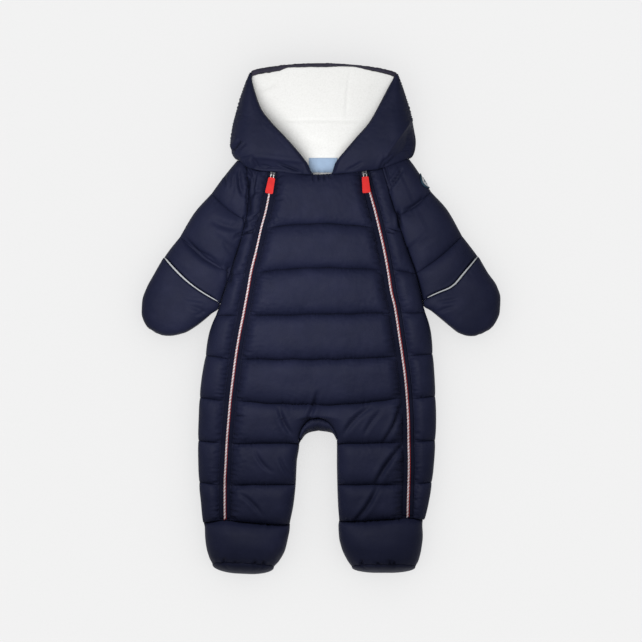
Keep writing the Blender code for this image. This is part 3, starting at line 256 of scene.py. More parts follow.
# Hood sections from the brim to the neck: the silhouette, and the free edges of both sides.
# "lift" raises the section over the surface; "crown" and "wall" are a side's height and thickness.
Hood = namedtuple("Hood", "part left_x left_y left_edge_x left_edge_y right_x right_y "
                          "right_edge_x right_edge_y bow lift crown wall")
HOOD = table_of(Hood,
    (0.0, -101.5, 354.0, -101.0, 348.5, 110.0, 352.0, 105.0, 347.0, 15.0, 21.0, 48.0, 10.0),
    (1.0, -108.0, 340.0, -95.0, 327.0, 116.0, 337.0, 94.1, 327.5, 16.0, 13.0, 49.0, 10.0),
    (2.0, -116.0, 318.5, -86.0, 302.0, 123.0, 317.0, 82.3, 305.0, 14.0, 6.0, 50.0, 10.0),
    (3.0, -123.0, 295.0, -70.0, 281.0, 129.5, 296.5, 69.0, 282.0, 10.0, 2.0, 50.0, 10.0),
    (4.0, -128.0, 275.0, -50.5, 260.5, 134.0, 275.0, 50.5, 260.5, 4.0, 0.0, 50.0, 10.0),
    (5.0, -130.5, 255.0, -32.5, 240.0, 137.0, 255.0, 33.0, 240.0, -4.0, 0.0, 49.0, 10.0),
    (6.0, -128.5, 239.0, -19.5, 223.5, 135.0, 240.0, 20.5, 224.0, -11.0, 0.0, 45.0, 12.0),
    (7.0, -119.0, 230.0, -9.0, 208.0, 127.0, 231.5, 13.5, 208.0, 0.0, 0.0, 34.0, 16.0),
)

BrimPlace = namedtuple("BrimPlace", "x width")
BRIM_PLACES = table_of(BrimPlace,
    (-101.0, 8.3), (-83.0, 7.4), (-59.0, 7.6), (-46.0, 3.8), (-27.0, 4.8), (2.0, 5.4),
    (35.0, 3.0), (48.0, 2.5), (65.0, 4.4), (87.0, 5.4), (104.0, 6.8), (109.0, 6.8),
)

# Finer divisions of the cloth than its solids have.
RING_POINTS = 104
HALF_RING = RING_POINTS // 2
ROW_PITCH = 1.65
FEWEST_ROWS = 6
CROWDING = 0.7
FRONT_COLUMNS = 54
SIDE_COLUMNS = 18
BACK_EDGE_STEPS = 6
BACK_COLUMNS = 16
GROOVE_FADE = 4.0
BACK_THINNEST = 1.5
ARM_STEPS = 30
ARM_CHANNEL_LENGTH = 58.0
LIMB_GIRTH = 110.0
HAND_STEPS = 9
HAND_SECTION = 20.0
MOUTH_SETBACK = 1.5
BOOT_STEPS = 32
BOOT_LENGTH = 60.0
SOLE_STEPS = 12
SOLE_SHRINK = 0.5
SOLE_BULGE = {"left": 12.0, "right": 8.5}
SOLE_SLOPE = {"left": -0.045, "right": 0.0}
SOLE_ROUNDING = 0.88
SOLE_LIP = 0.4
SOLE_TICKS = {"left": (-139.5, -122.0, -95.5, -83.0), "right": (59.0, 82.5, 98.0, 104.5)}
SOLE_TICK_WIDTH = 1.5
HOOD_STEPS = 13
HOOD_COLUMNS = 56
HOOD_SIDE_SHARES = tuple(0.45 * i / HOOD_COLUMNS + 0.55 * (1 - cos(pi * i / HOOD_COLUMNS)) / 2
                         for i in range(HOOD_COLUMNS + 1))
HOOD_BACK_SHARES = (0.0, 0.02) + tuple(0.055 + 0.89 * i / 30 for i in range(31)) + (0.98, 1.0)
HOOD_ROLL = 4.5
HOOD_ROLL_TURNS = (0.35, 0.65, 0.85, 0.97)
HOOD_SECTION = 20.0
HOOD_EDGE_EASE = 12.0
HOOD_BACK_STEPS = 4
LINING_COLUMNS = 100
LINING_STEPS = 10
LINING_BELOW_BRIM = 0.9
LINING_CORNER = 0.03
GUSSET_STEPS = 24
GUSSET_COLUMNS = 10
BRIM_STEPS = 180
BOW_POWER = 0.62
BRIM_TUCK = 1.5
BRIM_SIDES = 16
PIPING_SIDES = 12
PIPING_STEP = 0.8
PIPING_START = 5
PIPING_END = {"left": 9, "right": 12}
PIPING_RAISE = {"left": 0.4, "right": 1.3}
PIPING_FULLEST = {"left": 0.70, "right": 0.55}
PATCH_CELLS = 40
LABEL_FINE = (60, 30)

# Fullness of the pillows and the puckers that the stitching draws up.
PILLOW_POWER = 3.2
PILLOW_SHOULDER = 0.5
ARM_PILLOW_POWER = 2.3
ARM_PILLOW_SHOULDER = 0.78
BACK_GROOVE = 2.5
SOLE_PUCKER = 2.6
GATHER_PITCH = 4.2
GATHER_REACH = 7.0
GATHER_HEIGHT = 0.55
SEAM_WANDER = 1.3
WANDER_LENGTH = 24.0
SIDE_RAMP = 15.0
RAMP_POWER = 2.3
SIDE_LOWER = 4.0
FORK_RISE = 15.0
UNEVEN = 0.9
INNER_TUCK = 17.0
OUTER_TUCK = 9.0
TUCK_DEPTH = 1.3

# Spacing and strength of the tucks beside the zips, above and below the third channel.
HIGH_TUCKS = (12.0, 0.7)
LOW_TUCKS = (8.5, 1.0)

# Where the noise of each kind of stitching starts, so that no two have the same wrinkles.
SEEDS = {"gusset": 77, "sleeve": 100, "mitten": 130, "boot": 150, "hood side": 180, "brim": 201,
         "inner tucks": 300, "outer tucks": 330, "piping": 401, "quilting": 500}

# How the outer cloth settles: it is longer than its stitching, so it buckles into puckers.
SETTLE_STEPS = 110
STEPS_PER_NORMAL = 8
SLACK_SEAM = (0.12, 0.26)
SLACK_MIDDLE = (0.015, 0.02)
SLACK_REACH = 8.0
SLACK_ACROSS = 0.01
SLACK_UNEVEN = 1.7
SLACK_PATCH = 24.0
PRESSURE = 0.008
OVERSHOOT = 1.2
BENDING = 0.018
SEED_HEIGHT = 0.32
FINE_WRINKLES = ((1.0, 4.6), (0.7, 9.5), (0.5, 2.6))
MOVE_LIMIT = 4.0
FREE_RAMP = 2.2

GussetPlace = namedtuple("GussetPlace", "index part brink_y")
GUSSET_ARCH = table_of(GussetPlace,
    (0.0, FORK_PART_FRONT, -162.0), (1.0, 0.38, -163.0), (2.0, 0.48, -166.0), (3.0, 0.63, -170.5),
    (4.0, 0.84, -175.5),
)

# Sharper creases placed one by one: a trough with a soft ridge beside it, bowed to one side.
Crease = namedtuple("Crease", "x0 y0 x1 y1 width depth bow")
CREASES = table_of(Crease,
    (-103.5, 199.0, -104.0, 154.0, 2.6, 8.0, 1.5), (-107.0, 218.0, -96.0, 201.0, 1.6, 4.5, 0.5),
    (-92.8, 212.5, -98.5, 172.0, 1.7, 4.5, 1.0), (-97.0, 185.0, -85.5, 181.0, 1.2, 2.6, 0.3),
    (-108.0, 140.0, -82.0, 156.0, 1.6, 5.0, 1.5), (-118.0, 121.0, -92.0, 128.5, 1.6, 5.0, 0.8),
    (-126.0, 117.0, -109.0, 124.0, 1.8, 4.0, -1.0), (-111.5, 149.0, -108.0, 131.0, 2.2, 6.0, 0.0),
    (-132.0, 75.0, -133.0, 52.0, 3.2, 9.0, 0.0), (110.0, 156.0, 114.0, 131.0, 2.4, 7.0, 0.0),
    (92.0, 226.0, 101.0, 180.0, 1.8, 4.5, 0.5), (-101.0, 176.0, -84.0, 186.0, 2.21, 2.97, -2.0),
    (89.0, 128.5, 106.0, 123.5, 1.4, 4.5, 0.8), (118.0, 216.0, 98.0, 187.0, 1.9, 7.0, -0.8),
    (119.0, -181.0, 78.0, -240.0, 3.31, 6.21, 3.0), (83.0, -241.0, 46.0, -295.0, 3.13, 5.13, -3.0),
    (-61.0, -127.0, -41.0, -169.0, 2.94, 4.86, 3.0), (73.0, -126.0, 31.0, -169.0, 2.94, 4.86, 4.0),
    (116.0, -123.0, 89.0, -180.0, 2.76, 4.59, -3.0), (-4.0, -103.0, -22.0, -150.0, 2.76, 4.59, -2.0),
    (88.0, -131.0, 61.0, -168.0, 2.39, 3.24, 2.0), (-96.0, -190.0, -70.0, -222.0, 2.39, 2.7, 3.0),
    (-120.0, -250.0, -84.0, -284.0, 2.58, 2.97, -3.0), (-60.0, -200.0, -43.0, -229.0, 2.39, 2.7, 2.0),
    (-138.0, 209.0, -137.0, 190.0, 1.66, 2.29, 0.5), (-131.0, 208.0, -131.0, 188.0, 1.66, 2.56, -0.5),
    (-125.5, 206.0, -125.0, 192.0, 1.56, 2.03, 0.5), (-118.0, 214.0, -109.0, 172.0, 2.94, 4.86, 3.0),
    (-160.0, 143.0, -117.0, 130.0, 4.6, 4.2, 3.0), (-199.0, 114.5, -136.0, 70.0, 4.8, 2.8, 3.4),
    (-196.0, 120.0, -171.0, 91.0, 1.8, 1.8, 1.5), (-176.0, 97.0, -150.0, 82.0, 1.7, 2.0, -1.5),
    (-141.0, 113.0, -126.0, 92.0, 2.21, 2.43, 2.0), (148.0, 176.0, 120.0, 156.0, 2.58, 2.16, -3.0),
    (165.0, 118.0, 140.0, 101.0, 2.39, 2.29, 2.0), (-129.0, 241.5, -115.0, 257.0, 2.6, 6.5, 1.0),
    (-121.5, 238.0, -107.5, 252.5, 1.6, 3.6, -0.8), (-113.0, 229.0, -98.0, 235.0, 1.6, 2.4, 0.5),
    (94.0, 238.0, 85.0, 217.0, 1.7, 4.0, 0.4), (-100.0, 232.0, -91.0, 213.0, 2.39, 3.24, -1.5),
    (-62.0, 223.0, -31.0, 211.0, 1.9, 4.5, 1.5), (-86.0, 219.0, -72.0, 213.0, 1.84, 2.16, -1.0),
    (102.0, 236.0, 88.0, 221.0, 2.02, 2.43, 1.0), (60.0, 226.0, 36.0, 213.0, 2.21, 2.16, -1.0),
    (-12.0, 207.0, -10.0, 197.0, 1.47, 2.16, 0.3), (-3.0, 207.0, -3.5, 198.0, 1.47, 2.43, -0.3),
    (5.0, 207.0, 6.0, 198.0, 1.47, 2.03, 0.3), (-199.0, 31.0, -166.0, 26.0, 3.4, 1.8, 1.0),
    (-191.0, 19.0, -164.0, 6.0, 3.4, 1.8, -1.5), (-183.0, 5.0, -167.0, 11.0, 1.9, 1.5, 1.0),
    (199.0, 30.0, 166.0, 24.0, 2.4, 1.8, -1.0), (193.0, 17.0, 166.0, 8.0, 2.4, 1.8, 1.5),
    (-224.0, 88.0, -151.0, 26.5, 1.6, 5.0, 5.6), (224.0, 90.0, 151.0, 29.5, 1.6, 4.0, -7.2),
    (12.0, 208.0, 15.0, 201.0, 1.38, 1.62, 0.3),
)
# Where the mouth of the right mitten is pulled over by the cuff's fold.
Nudge = namedtuple("Nudge", "x y dx dy radius")
NUDGES = table_of(Nudge, (187.5, 49.3, 2.3, -2.7, 17.0))
# Where the armhole seam itself is drawn in, so that both cloths sink; here depth is a share.
PITS = table_of(Crease,
    (-103.5, 206.0, -104.0, 146.0, 5.0, 0.52, 0.0), (-131.0, 84.0, -134.5, 46.0, 6.0, 0.8, 0.0),
    (110.0, 162.0, 115.5, 124.0, 3.6, 0.36, 0.0),
)
Facet = namedtuple("Facet", "x0 y0 x1 y1 width depth reach")
FACETS = table_of(Facet,
    (136.0, 292.0, 78.8, 210.6, 1.3, 15.0, 14.0),
    (-24.0, 224.0, -99.0, 232.5, 2.2, 9.0, 10.0),
)
LINING_FOLDS = table_of(Crease,
    (-82.0, 284.5, 80.0, 285.5, 1.9, 1.5, -1.5), (43.5, 366.0, 35.4, 284.0, 1.8, 1.3, 1.5),
    (-47.0, 364.0, -46.0, 284.0, 2.2, 0.6, 0.0), (-92.0, 329.0, -62.0, 345.0, 4.0, 1.7, 2.0),
    (-84.0, 316.0, -60.0, 322.0, 5.0, 0.8, -2.0), (70.0, 330.0, 92.0, 341.0, 4.0, 0.9, -2.0),
    (-12.0, 214.0, -8.0, 200.0, 2.2, 1.4, 0.0), (-2.0, 215.0, -1.0, 200.0, 2.2, 1.4, 0.0),
    (8.0, 214.0, 6.0, 200.0, 2.2, 1.4, 0.0), (-30.0, 262.0, 24.0, 250.0, 7.0, 0.8, 3.0),
)

# Weaves, zips, stitches and patches. A wave texture repeats every 2 pi / 20 of its unit.
WAVE_UNIT = 20
WEAVE_TURN = radians(4.0)
TAPE_COLUMNS = 24
TAPE_STEP = 3.0
COIL_PITCH = 1.2
COIL_SLANT = 1.7
COIL_THREAD = 0.62
COIL_SHOWN = 3.7
COIL_PATTERN = (0, 0, 0, 1)
COIL_EDGE = {"left": 0.32, "right": 0.46}
COIL_EDGE_FROM = {"left": 95.0, "right": 204.0}
BADGE_RIM = 0.80
STITCH_PITCH = 2.8
STITCH_OUT = 9.6
STITCH_RADIUS = 0.35
CAPSULE_RINGS = ((0.0, 0.5), (0.22, 1.0), (0.78, 1.0), (1.0, 0.5))
LABEL_THICK = 0.6

# Light and camera, in metres and watts.
KEY_PLACE = (-0.09, 0.07, 0.42)
KEY_AIM = (-0.03, 0.03, 0.0)
KEY_SIZE = 0.42
KEY_POWER = 2.18
FILL_STRENGTH = 0.353
FLOOR_LIGHT = 2.609
FLOOR_TONE = 0.75
VIEW_HALF = 0.4655
CAMERA_LENS = 200.0
CAMERA_SENSOR = 36.0
CAMERA_Y = -0.0036


class Paint:
    """A material in the making, with short ways to add its nodes."""

    def __init__(self, name):
        self.material = bpy.data.materials.new(name)
        self.material.use_nodes = True
        self.tree = self.material.node_tree
        self.shader = self.tree.nodes["Principled BSDF"]

    def fill(self, node, **inputs):
        """Gives inputs, named with _ for a space, a value or a link from another node's output."""
        for name, value in inputs.items():
            socket = node.inputs[name.replace("_", " ")]
            if isinstance(value, bpy.types.NodeSocket):
                self.tree.links.new(value, socket)
            else:
                socket.default_value = value
        return node

    def node(self, kind, **inputs):
        return self.fill(self.tree.nodes.new("ShaderNode" + kind), **inputs)

    def set(self, **inputs):
        self.fill(self.shader, **inputs)

    def clouds(self, scale, detail=2.0, rough=0.5):
        """Uneven shades from 0 to 1."""
        place = self.node("TexCoord").outputs["Object"]
        texture = self.node("TexNoise", Vector=place, Scale=scale, Detail=detail, Roughness=rough)
        return texture.outputs["Fac"]

    def tones(self, source, *stops):
        """Colours read off a scale of places, each with its colour."""
        node = self.node("ValToRGB", Fac=source)
        elements = node.color_ramp.elements
        while len(elements) < len(stops):
            elements.new(0.5)
        for element, (place, colour) in zip(elements, stops):
            element.position = place
            element.color = (*colour, 1.0)
        return node.outputs["Color"]

    def between(self, source, low, high):
        return self.node("MapRange", Value=source, To_Min=low, To_Max=high).outputs["Result"]

    def weave(self, pitch, turn=0.0):
        """Height of a plain weave: two sets of fine ribs crossing at a pitch in mm."""
        place = self.node("TexCoord").outputs["Object"]
        turned = self.node("Mapping", Vector=place, Rotation=(0, 0, turn)).outputs["Vector"]
        both = self.node("Math")
        both.operation = "MAXIMUM"
        for direction, socket in zip("XY", both.inputs):
            scale = 1 / (WAVE_UNIT * pitch * MM) * 2 * pi
            ribs = self.node("TexWave", Vector=turned, Scale=scale, Distortion=0.6, Detail_Scale=3.0)
            ribs.bands_direction = direction
            self.tree.links.new(ribs.outputs["Fac"], socket)
        return both.outputs["Value"]

    def multiply(self, one, other):
        node = self.node("Mix")
        node.data_type = "RGBA"
        node.blend_type = "MULTIPLY"
        return self.fill(node, Factor=1.0, A=one, B=other).outputs["Result"]

    def bumps(self, *layers):
        """Bumps from sources of height, the finest last, each with its own real depth in mm."""
        normal = None
        for source, depth in layers:
            bump = self.node("Bump", Distance=depth * MM, Height=source)
            if normal:
                self.fill(bump, Normal=normal)
            normal = bump.outputs["Normal"]
        self.set(Normal=normal)


def make_nylon():
    """Matt navy polyamide: fine weave, soft sheen, a little uneven in tone and gloss."""
    paint = Paint("navy_nylon")
    paint.set(
        Base_Color=paint.tones(
            paint.clouds(26.0, 4.0, 0.6), (0.30, (0.0084, 0.0103, 0.0288)),
            (0.55, (0.0104, 0.0124, 0.0334)), (0.75, (0.0132, 0.0152, 0.0392))),
        Roughness=paint.between(paint.clouds(60.0, 3.0, 0.6), 0.52, 0.68), Specular_IOR_Level=0.108,
        Sheen_Weight=0.025, Sheen_Roughness=0.4, Sheen_Tint=(0.55, 0.62, 0.9, 1.0))
    wrinkles, crinkle = paint.clouds(170.0, 3.0, 0.55), paint.clouds(520.0)
    paint.bumps((wrinkles, 0.28), (crinkle, 0.10), (paint.weave(0.45), 0.03))
    return paint.material


def make_fleece():
    """Off-white brushed fleece with short clumped pile."""
    paint = Paint("white_fleece")
    paint.set(
        Base_Color=paint.tones(
            paint.clouds(420.0, 5.0, 0.7), (0.30, (0.87, 0.87, 0.85)), (0.52, (0.93, 0.93, 0.91)),
            (0.72, (0.96, 0.96, 0.945))),
        Roughness=0.95, Specular_IOR_Level=0.15, Sheen_Weight=0.5, Sheen_Roughness=0.6,
        Subsurface_Weight=0.08, Subsurface_Radius=(0.002, 0.002, 0.002))
    clumps, pile = paint.clouds(330.0, 4.0, 0.65), paint.clouds(1300.0, 3.0, 0.7)
    paint.bumps((clumps, 0.3), (pile, 0.12))
    return paint.material


def make_weave(name, dark, light, pitch, depth, roughness, sheen, gloss=0.15):
    """A woven tape or thread: two tones, ribs at a pitch in mm."""
    paint = Paint(name)
    height = paint.weave(pitch, WEAVE_TURN)
    shades = paint.tones(paint.clouds(90.0, 3.0), (0.3, (0.9, 0.9, 0.9)), (0.7, (1.0, 1.0, 1.0)))
    colour = paint.multiply(paint.tones(height, (0.15, dark), (0.85, light)), shades)
    paint.set(Base_Color=colour, Roughness=roughness, Sheen_Weight=sheen, Specular_IOR_Level=gloss)
    paint.bumps((height, depth))
    return paint.material


def make_smooth(name, dark, light, roughness, uneven, metallic=0.0, depth=0.02):
    """Moulded rubber, plastic or polished metal, with faint unevenness and handling marks."""
    paint = Paint(name)
    paint.set(
        Base_Color=paint.tones(paint.clouds(180.0, 3.0, 0.6), (0.3, dark), (0.7, light)),
        Roughness=paint.between(paint.clouds(700.0, 3.0), roughness - uneven, roughness + uneven),
        Metallic=metallic, Specular_IOR_Level=0.5 if metallic else 0.2)
    paint.bumps((paint.clouds(1100.0), depth))
    return paint.material


nylon = make_nylon()
fleece = make_fleece()
tape_weave = make_weave(
    "zip_tape_weave", (0.0036, 0.0044, 0.0135), (0.0060, 0.0073, 0.0205), 0.8, 0.06, 0.75, 0.012, 0.07)
thread = make_weave("stitch_thread", (0.006, 0.007, 0.017), (0.012, 0.013, 0.030), 0.5, 0.05, 0.6, 0.04)
label_weave = make_weave("label_weave", (0.32, 0.44, 0.62), (0.39, 0.52, 0.70), 0.6, 0.05, 0.6, 0.1)
piping_weave = make_weave("piping_weave", (0.27, 0.28, 0.30), (0.50, 0.52, 0.54), 0.7, 0.08, 0.55, 0.1)
coil_white = make_smooth("coil_white", (0.52, 0.48, 0.50), (0.66, 0.61, 0.63), 0.45, 0.06)
coil_red = make_smooth("coil_red", (0.33, 0.085, 0.085), (0.43, 0.125, 0.12), 0.38, 0.06)
coil_navy = make_smooth("coil_navy", (0.030, 0.036, 0.085), (0.055, 0.065, 0.130), 0.38, 0.06)
rubber = make_smooth("red_rubber", (0.52, 0.011, 0.011), (0.62, 0.018, 0.016), 0.6, 0.07)
metal = make_smooth("polished_metal", (0.36, 0.36, 0.35), (0.48, 0.48, 0.47), 0.38, 0.08, 1.0, 0.01)
# The slider's metal is a darker copy of the polished metal: painted shade for the shadow round the link,
# not a darker finish.
painted_shade_slider = make_smooth("slider_metal", (0.035, 0.035, 0.04), (0.07, 0.07, 0.075), 0.42, 0.08, 1.0, 0.01)
badge_dark = make_smooth("badge_dark", (0.008, 0.033, 0.058), (0.015, 0.050, 0.082), 0.5, 0.08)
badge_pale = make_smooth("badge_pale", (0.56, 0.58, 0.60), (0.68, 0.70, 0.72), 0.45, 0.08)
coil_edge = make_smooth("coil_edge", (0.24, 0.016, 0.020), (0.33, 0.026, 0.030), 0.5, 0.06)
brim_weave = make_weave("brim_cloth", (0.023, 0.021, 0.037), (0.040, 0.037, 0.058), 0.6, 0.05, 0.7, 0.03)


def curve(table, key, column):
    """A smooth reading of one column of a table that never overshoots its rows."""
    ordered = sorted(table, key=lambda row: getattr(row, key))
    keys = [getattr(row, key) for row in ordered]
    values = [getattr(row, column) for row in ordered]
    slopes = [(values[i + 1] - values[i]) / (keys[i + 1] - keys[i]) for i in range(len(keys) - 1)]
    tangents = [slopes[0]]
    for before, after in zip(slopes, slopes[1:]):
        same_way = before * after > 0
        tangents.append(2 * before * after / (before + after) if same_way else 0.0)
    tangents.append(slopes[-1])

    def value_at(where):
        if where <= keys[0]:
            return values[0]
        if where >= keys[-1]:
            return values[-1]
        i = next(n for n in range(len(keys) - 1) if where <= keys[n + 1])
        span = keys[i + 1] - keys[i]
        t = (where - keys[i]) / span
        start = values[i] * (1 + 2 * t) * (1 - t) ** 2 + span * tangents[i] * t * (1 - t) ** 2
        end = values[i + 1] * t * t * (3 - 2 * t) - span * tangents[i + 1] * t * t * (1 - t)
        return start + end

    return value_at


def section(table, where):
    """A row between a table's rows, with every column read at a value of the first."""
    kind = type(table[0])
    key, *columns = kind._fields
    return kind(where, *[curve(table, key, column)(where) for column in columns])


def mix(a, b, share):
    return a + (b - a) * share


def smooth_step(value):
    t = min(max(value, 0.0), 1.0)
    return t * t * (3 - 2 * t)


def quarter_round(value):
    """Height of a quarter circle: 0 at the edge, 1 from one radius inwards."""
    t = min(max(value, 0.0), 1.0)
    return sqrt(1 - (1 - t) ** 2)


def steep_ramp(value):
    """A rise from 0 to 1 that is steep first, then level."""
    return 1 - (1 - min(1.0, max(0.0, value))) ** RAMP_POWER


def squarer(value, power):
    """A sine or cosine with its swing made fuller, or flatter where the power is above 1."""
    return copysign(abs(value) ** power, value)


def puff(part):
    """Rise of a zip's ledge between two lines of stitching, 0 on the lines."""
    return 1 - abs(2 * part - 1) ** PUFF_POWER


def full(part, power=PILLOW_POWER, shoulder=PILLOW_SHOULDER):
    """Fullness of a pillow: steep at the stitching, nearly flat in the middle."""
    return max(0.0, 1 - abs(2 * part - 1) ** power) ** shoulder


class Side:
    """One half of the suit: its own tables, and its edges read from the shared ones."""

    def __init__(self, name, turn):
        self.name = name
        self.turn = turn
        self.arm = ARMS[name]
        self.hand = HANDS[name]
        self.boot = BOOTS[name]
        self.edge_at = curve(BODY, "y", name)
        self.zip_at = curve(BODY, "y", name + "_zip")
        self.front_fork_at = curve(FRONT_FORK, "y", name)
        self.back_fork_at = curve(BACK_FORK, "y", name)


SIDES = {"left": Side("left", -1), "right": Side("right", 1)}
neck_at = curve(NECK, "x", "y")
Row = namedtuple("Row", "channel part")
TOP_ROW = Row(0, 0.0)
LAST_ROW = Row(len(QUILT) - 2, 1.0)


def line_y(row, station):
    return mix(getattr(QUILT[row.channel], station), getattr(QUILT[row.channel + 1], station), row.part)


def channel_height(channel):
    return QUILT[channel].inner - QUILT[channel + 1].inner


def inner_line_y(row, side):
    """Where a line meets the middle or the inner leg edge; the ankle seams differ a little."""
    rise = ANKLE_RISE[side.name] * row.part if row.channel == LAST_ROW.channel else 0.0
    return line_y(row, "inner") + rise


def zip_place(row, side):
    """Where a line across the suit meets the zip, as x and y."""
    y = line_y(row, side.name + "_zip")
    return side.zip_at(y), y


def edge_place(row, side):
    """Where a line across the suit meets the side seam, as x and y."""
    y = line_y(row, side.name + "_edge")
    return side.edge_at(y), y


def scalloped_edge(row, side):
    """The side seam's place with the swell of each channel, below the armpit."""
    x, y = edge_place(row, side)
    swell = SCALLOP * full(row.part) * smooth_step((SCALLOP_TOP_Y - y) / SCALLOP_BLEND)
    return x + side.turn * swell, y


def below_armpit(y):
    """0 beside the armhole seam, 1 below it, where the side rounds down."""
    return smooth_step((ARMPIT_Y - y) / ARMPIT_BLEND)


def ledge_rise(row):
    """Height of the flat strip that carries a zip; level where the pull tab lies."""
    return ZIP_RISE + (ZIP_SWELL * puff(row.part) if row.channel > 0 else 0.0)


def past_fork(row, part):
    return row.channel > FORK_CHANNEL or (row.channel == FORK_CHANNEL and row.part > part)


def row_y(row, side, x):
    """Where a line across the suit passes a place: straight outside the zip, sagging inside it."""
    edge_x, edge_y = edge_place(row, side)
    zip_x, zip_y = zip_place(row, side)
    inner_y = inner_line_y(row, side)
    inner_x = side.front_fork_at(inner_y)
    if abs(x - edge_x) < abs(zip_x - edge_x):
        return mix(edge_y, zip_y, abs(x - edge_x) / abs(zip_x - edge_x))
    return mix(zip_y, inner_y, sin(min(1.0, abs(x - zip_x) / abs(inner_x - zip_x)) * pi / 2))


def neck_shift(side, x):
    """How far the neckline lies above the first line across, at a place on it."""
    return neck_at(x) - row_y(TOP_ROW, side, x)


def limb_ring(body_side, far_side, bow, top, armhole, power=RING_POWER, lower=0.0):
    """Points round a flattened padded tube, from its body side over the top and back beneath."""
    body_side, far_side = Vector(body_side), Vector(far_side)
    across = far_side - body_side
    width = across.length
    turn = -1 if far_side.x < body_side.x else 1
    forward = Vector((across.y, -across.x)) * turn / width
    inset = LIMB_WALL / width
    points = []
    for j in range(RING_POINTS + 1):
        angle = 2 * pi * j / RING_POINTS
        level = abs(sin(angle)) ** power if j % HALF_RING else 0.0
        lean = squarer(cos(angle), power)
        share = (1 - lean) / 2
        near_body = armhole and lean > 0
        if angle <= pi:
            shown = level * (1 - lower * (1 - share))
            height = mix(PARTING + ARMHOLE_RISE if near_body else PARTING, top, shown)
            slit = min(1.0, SLIT_RAMP * level)
        else:
            height = 0.0 if near_body else PARTING * (1 - min(1.0, UNDERSIDE_FULLNESS * level))
            slit = -min(1.0, SLIT_RAMP * level)
        if near_body:
            slit = 1.0 if j < HALF_RING else -1.0
        inner_share = mix(0.0 if armhole else inset, 1 - inset, share)
        place = body_side + across * share + forward * bow * sin(pi * share)
        inside = body_side + across * inner_share + forward * bow * sin(pi * inner_share)
        points.append(((place.x, place.y, height), (inside.x, inside.y, PARTING + HALF_SLIT * slit)))
    return points


def arm_ring(side, part):
    """One section of a sleeve; the body's own edge gives the inner end."""
    at = section(side.arm, part)
    inner = Vector((side.edge_at(at.inner_y) + side.turn * LIMB_GAP, at.inner_y))
    outer = Vector((at.outer_x, at.outer_y))
    fullness = full(part % 1.0, ARM_PILLOW_POWER, ARM_PILLOW_SHOULDER)
    outer += (inner - outer).normalized() * ARM_SCALLOP * (1 - fullness)
    seam = CUFF_RISE if part == ARM_CHANNELS else SEAM_RISE
    armhole = at.inner_y > ARMPIT_Y
    top = PARTING + mix(seam, at.crown, fullness)
    return limb_ring(inner, outer, at.bow, top, armhole, RING_POWER, ARM_LEAN * fullness), armhole


def hand_ring(side, part):
    at = section(side.hand, part)
    body_side, far_side = (at.inner_x, at.inner_y), (at.outer_x, at.outer_y)
    return limb_ring(body_side, far_side, at.bow, at.top, False, HAND_POWER)


def boot_ring(side, part, wider=0.0):
    """A boot section; the ankle one follows the last line of quilting, the sole one leans."""
    at = section(side.boot, part)
    left, right, top = at.left - wider, at.right + wider, at.top + wider
    outer_x, inner_x = (left, right) if side.name == "left" else (right, left)

    def placed(point):
        x, _, z = point
        lean = part ** 2 * (top - z) * sin(SOLE_TILT)
        ankle_y = row_y(LAST_ROW, side, x) - BOOT_GAP
        end_y = SOLE_Y[side.name] + SOLE_SLOPE[side.name] * (x - left)
        return x, mix(ankle_y, end_y, part) - lean, z

    ring = limb_ring((inner_x, 0), (outer_x, 0), 0, top, False)
    return [(placed(outer), placed(inner)) for outer, inner in ring]


def at_neck(at):
    """0 over most of the hood, 1 at the neckline."""
    return smooth_step(at.part - (HOOD[-1].part - 1))


def hood_line(at, share):
    """A place across the hood's back at one section, from the left silhouette to the right."""
    x = mix(at.left_x, at.right_x, share)
    bow = at.bow * sin(pi * share) ** mix(BOW_POWER, 1.0, smooth_step(at.part / 2))
    y = mix(at.left_y, at.right_y, share) + bow
    return x, mix(y, neck_at(x) + HOOD_GAP, at_neck(at))


def hood_floor(at, share):
    """Height of the upper face of the hood's back."""
    return PARTING - SEAM_GAP + at.lift - BOWL_DEPTH * sin(pi * share)


def hood_side_row(side, part):
    """Points of a hood side, from the silhouette seam over the fold to the free edge."""
    at = section(HOOD, part)
    fold = Vector((getattr(at, side.name + "_x"), getattr(at, side.name + "_y")))
    edge = Vector((getattr(at, side.name + "_edge_x"), getattr(at, side.name + "_edge_y")))
    width = (edge - fold).length
    radius = min(HOOD_ROUND, HOOD_ROUND_SHARE * width)
    seam_share = min(LIMB_WALL / width, HOOD_SEAM_SHARE)
    base = PARTING + at.lift
    neck = at_neck(at)
    sag = at.bow * width / (at.right_x - at.left_x)

    def place_at(share):
        x, y = fold.lerp(edge, share)
        return x, mix(y + sag * sin(pi * share), neck_at(x) + HOOD_GAP, neck)

    points = []
    for share in HOOD_SIDE_SHARES:
        height = mix(base + EDGE_RISE, at.crown, quarter_round(share * width / radius))
        outer = (*place_at(share), height - HOOD_DROP * share ** 2 * (1 - neck))
        inner_share = mix(seam_share, 1.0, share)
        x, y = place_at(inner_share)
        over = (x - at.left_x) / (at.right_x - at.left_x)
        lining = hood_floor(at, over) + SEAM_GAP + LINING_THICKNESS
        top = max(outer[2] - at.wall, lining + LINING_CLEARANCE)
        reach = quarter_round((inner_share - seam_share) * width / radius)
        height = mix(base, top, reach)
        if reach > 0:
            height = max(height, lining + LINING_CLEARANCE)
        points.append((outer, (x, y, height)))
    return points


def noise_at(value, seed):
    """Smooth noise along a line, about -1 to 1."""
    return noise.noise(Vector((value, seed * 7.31 + 0.5, seed * 3.17 + 0.5)))


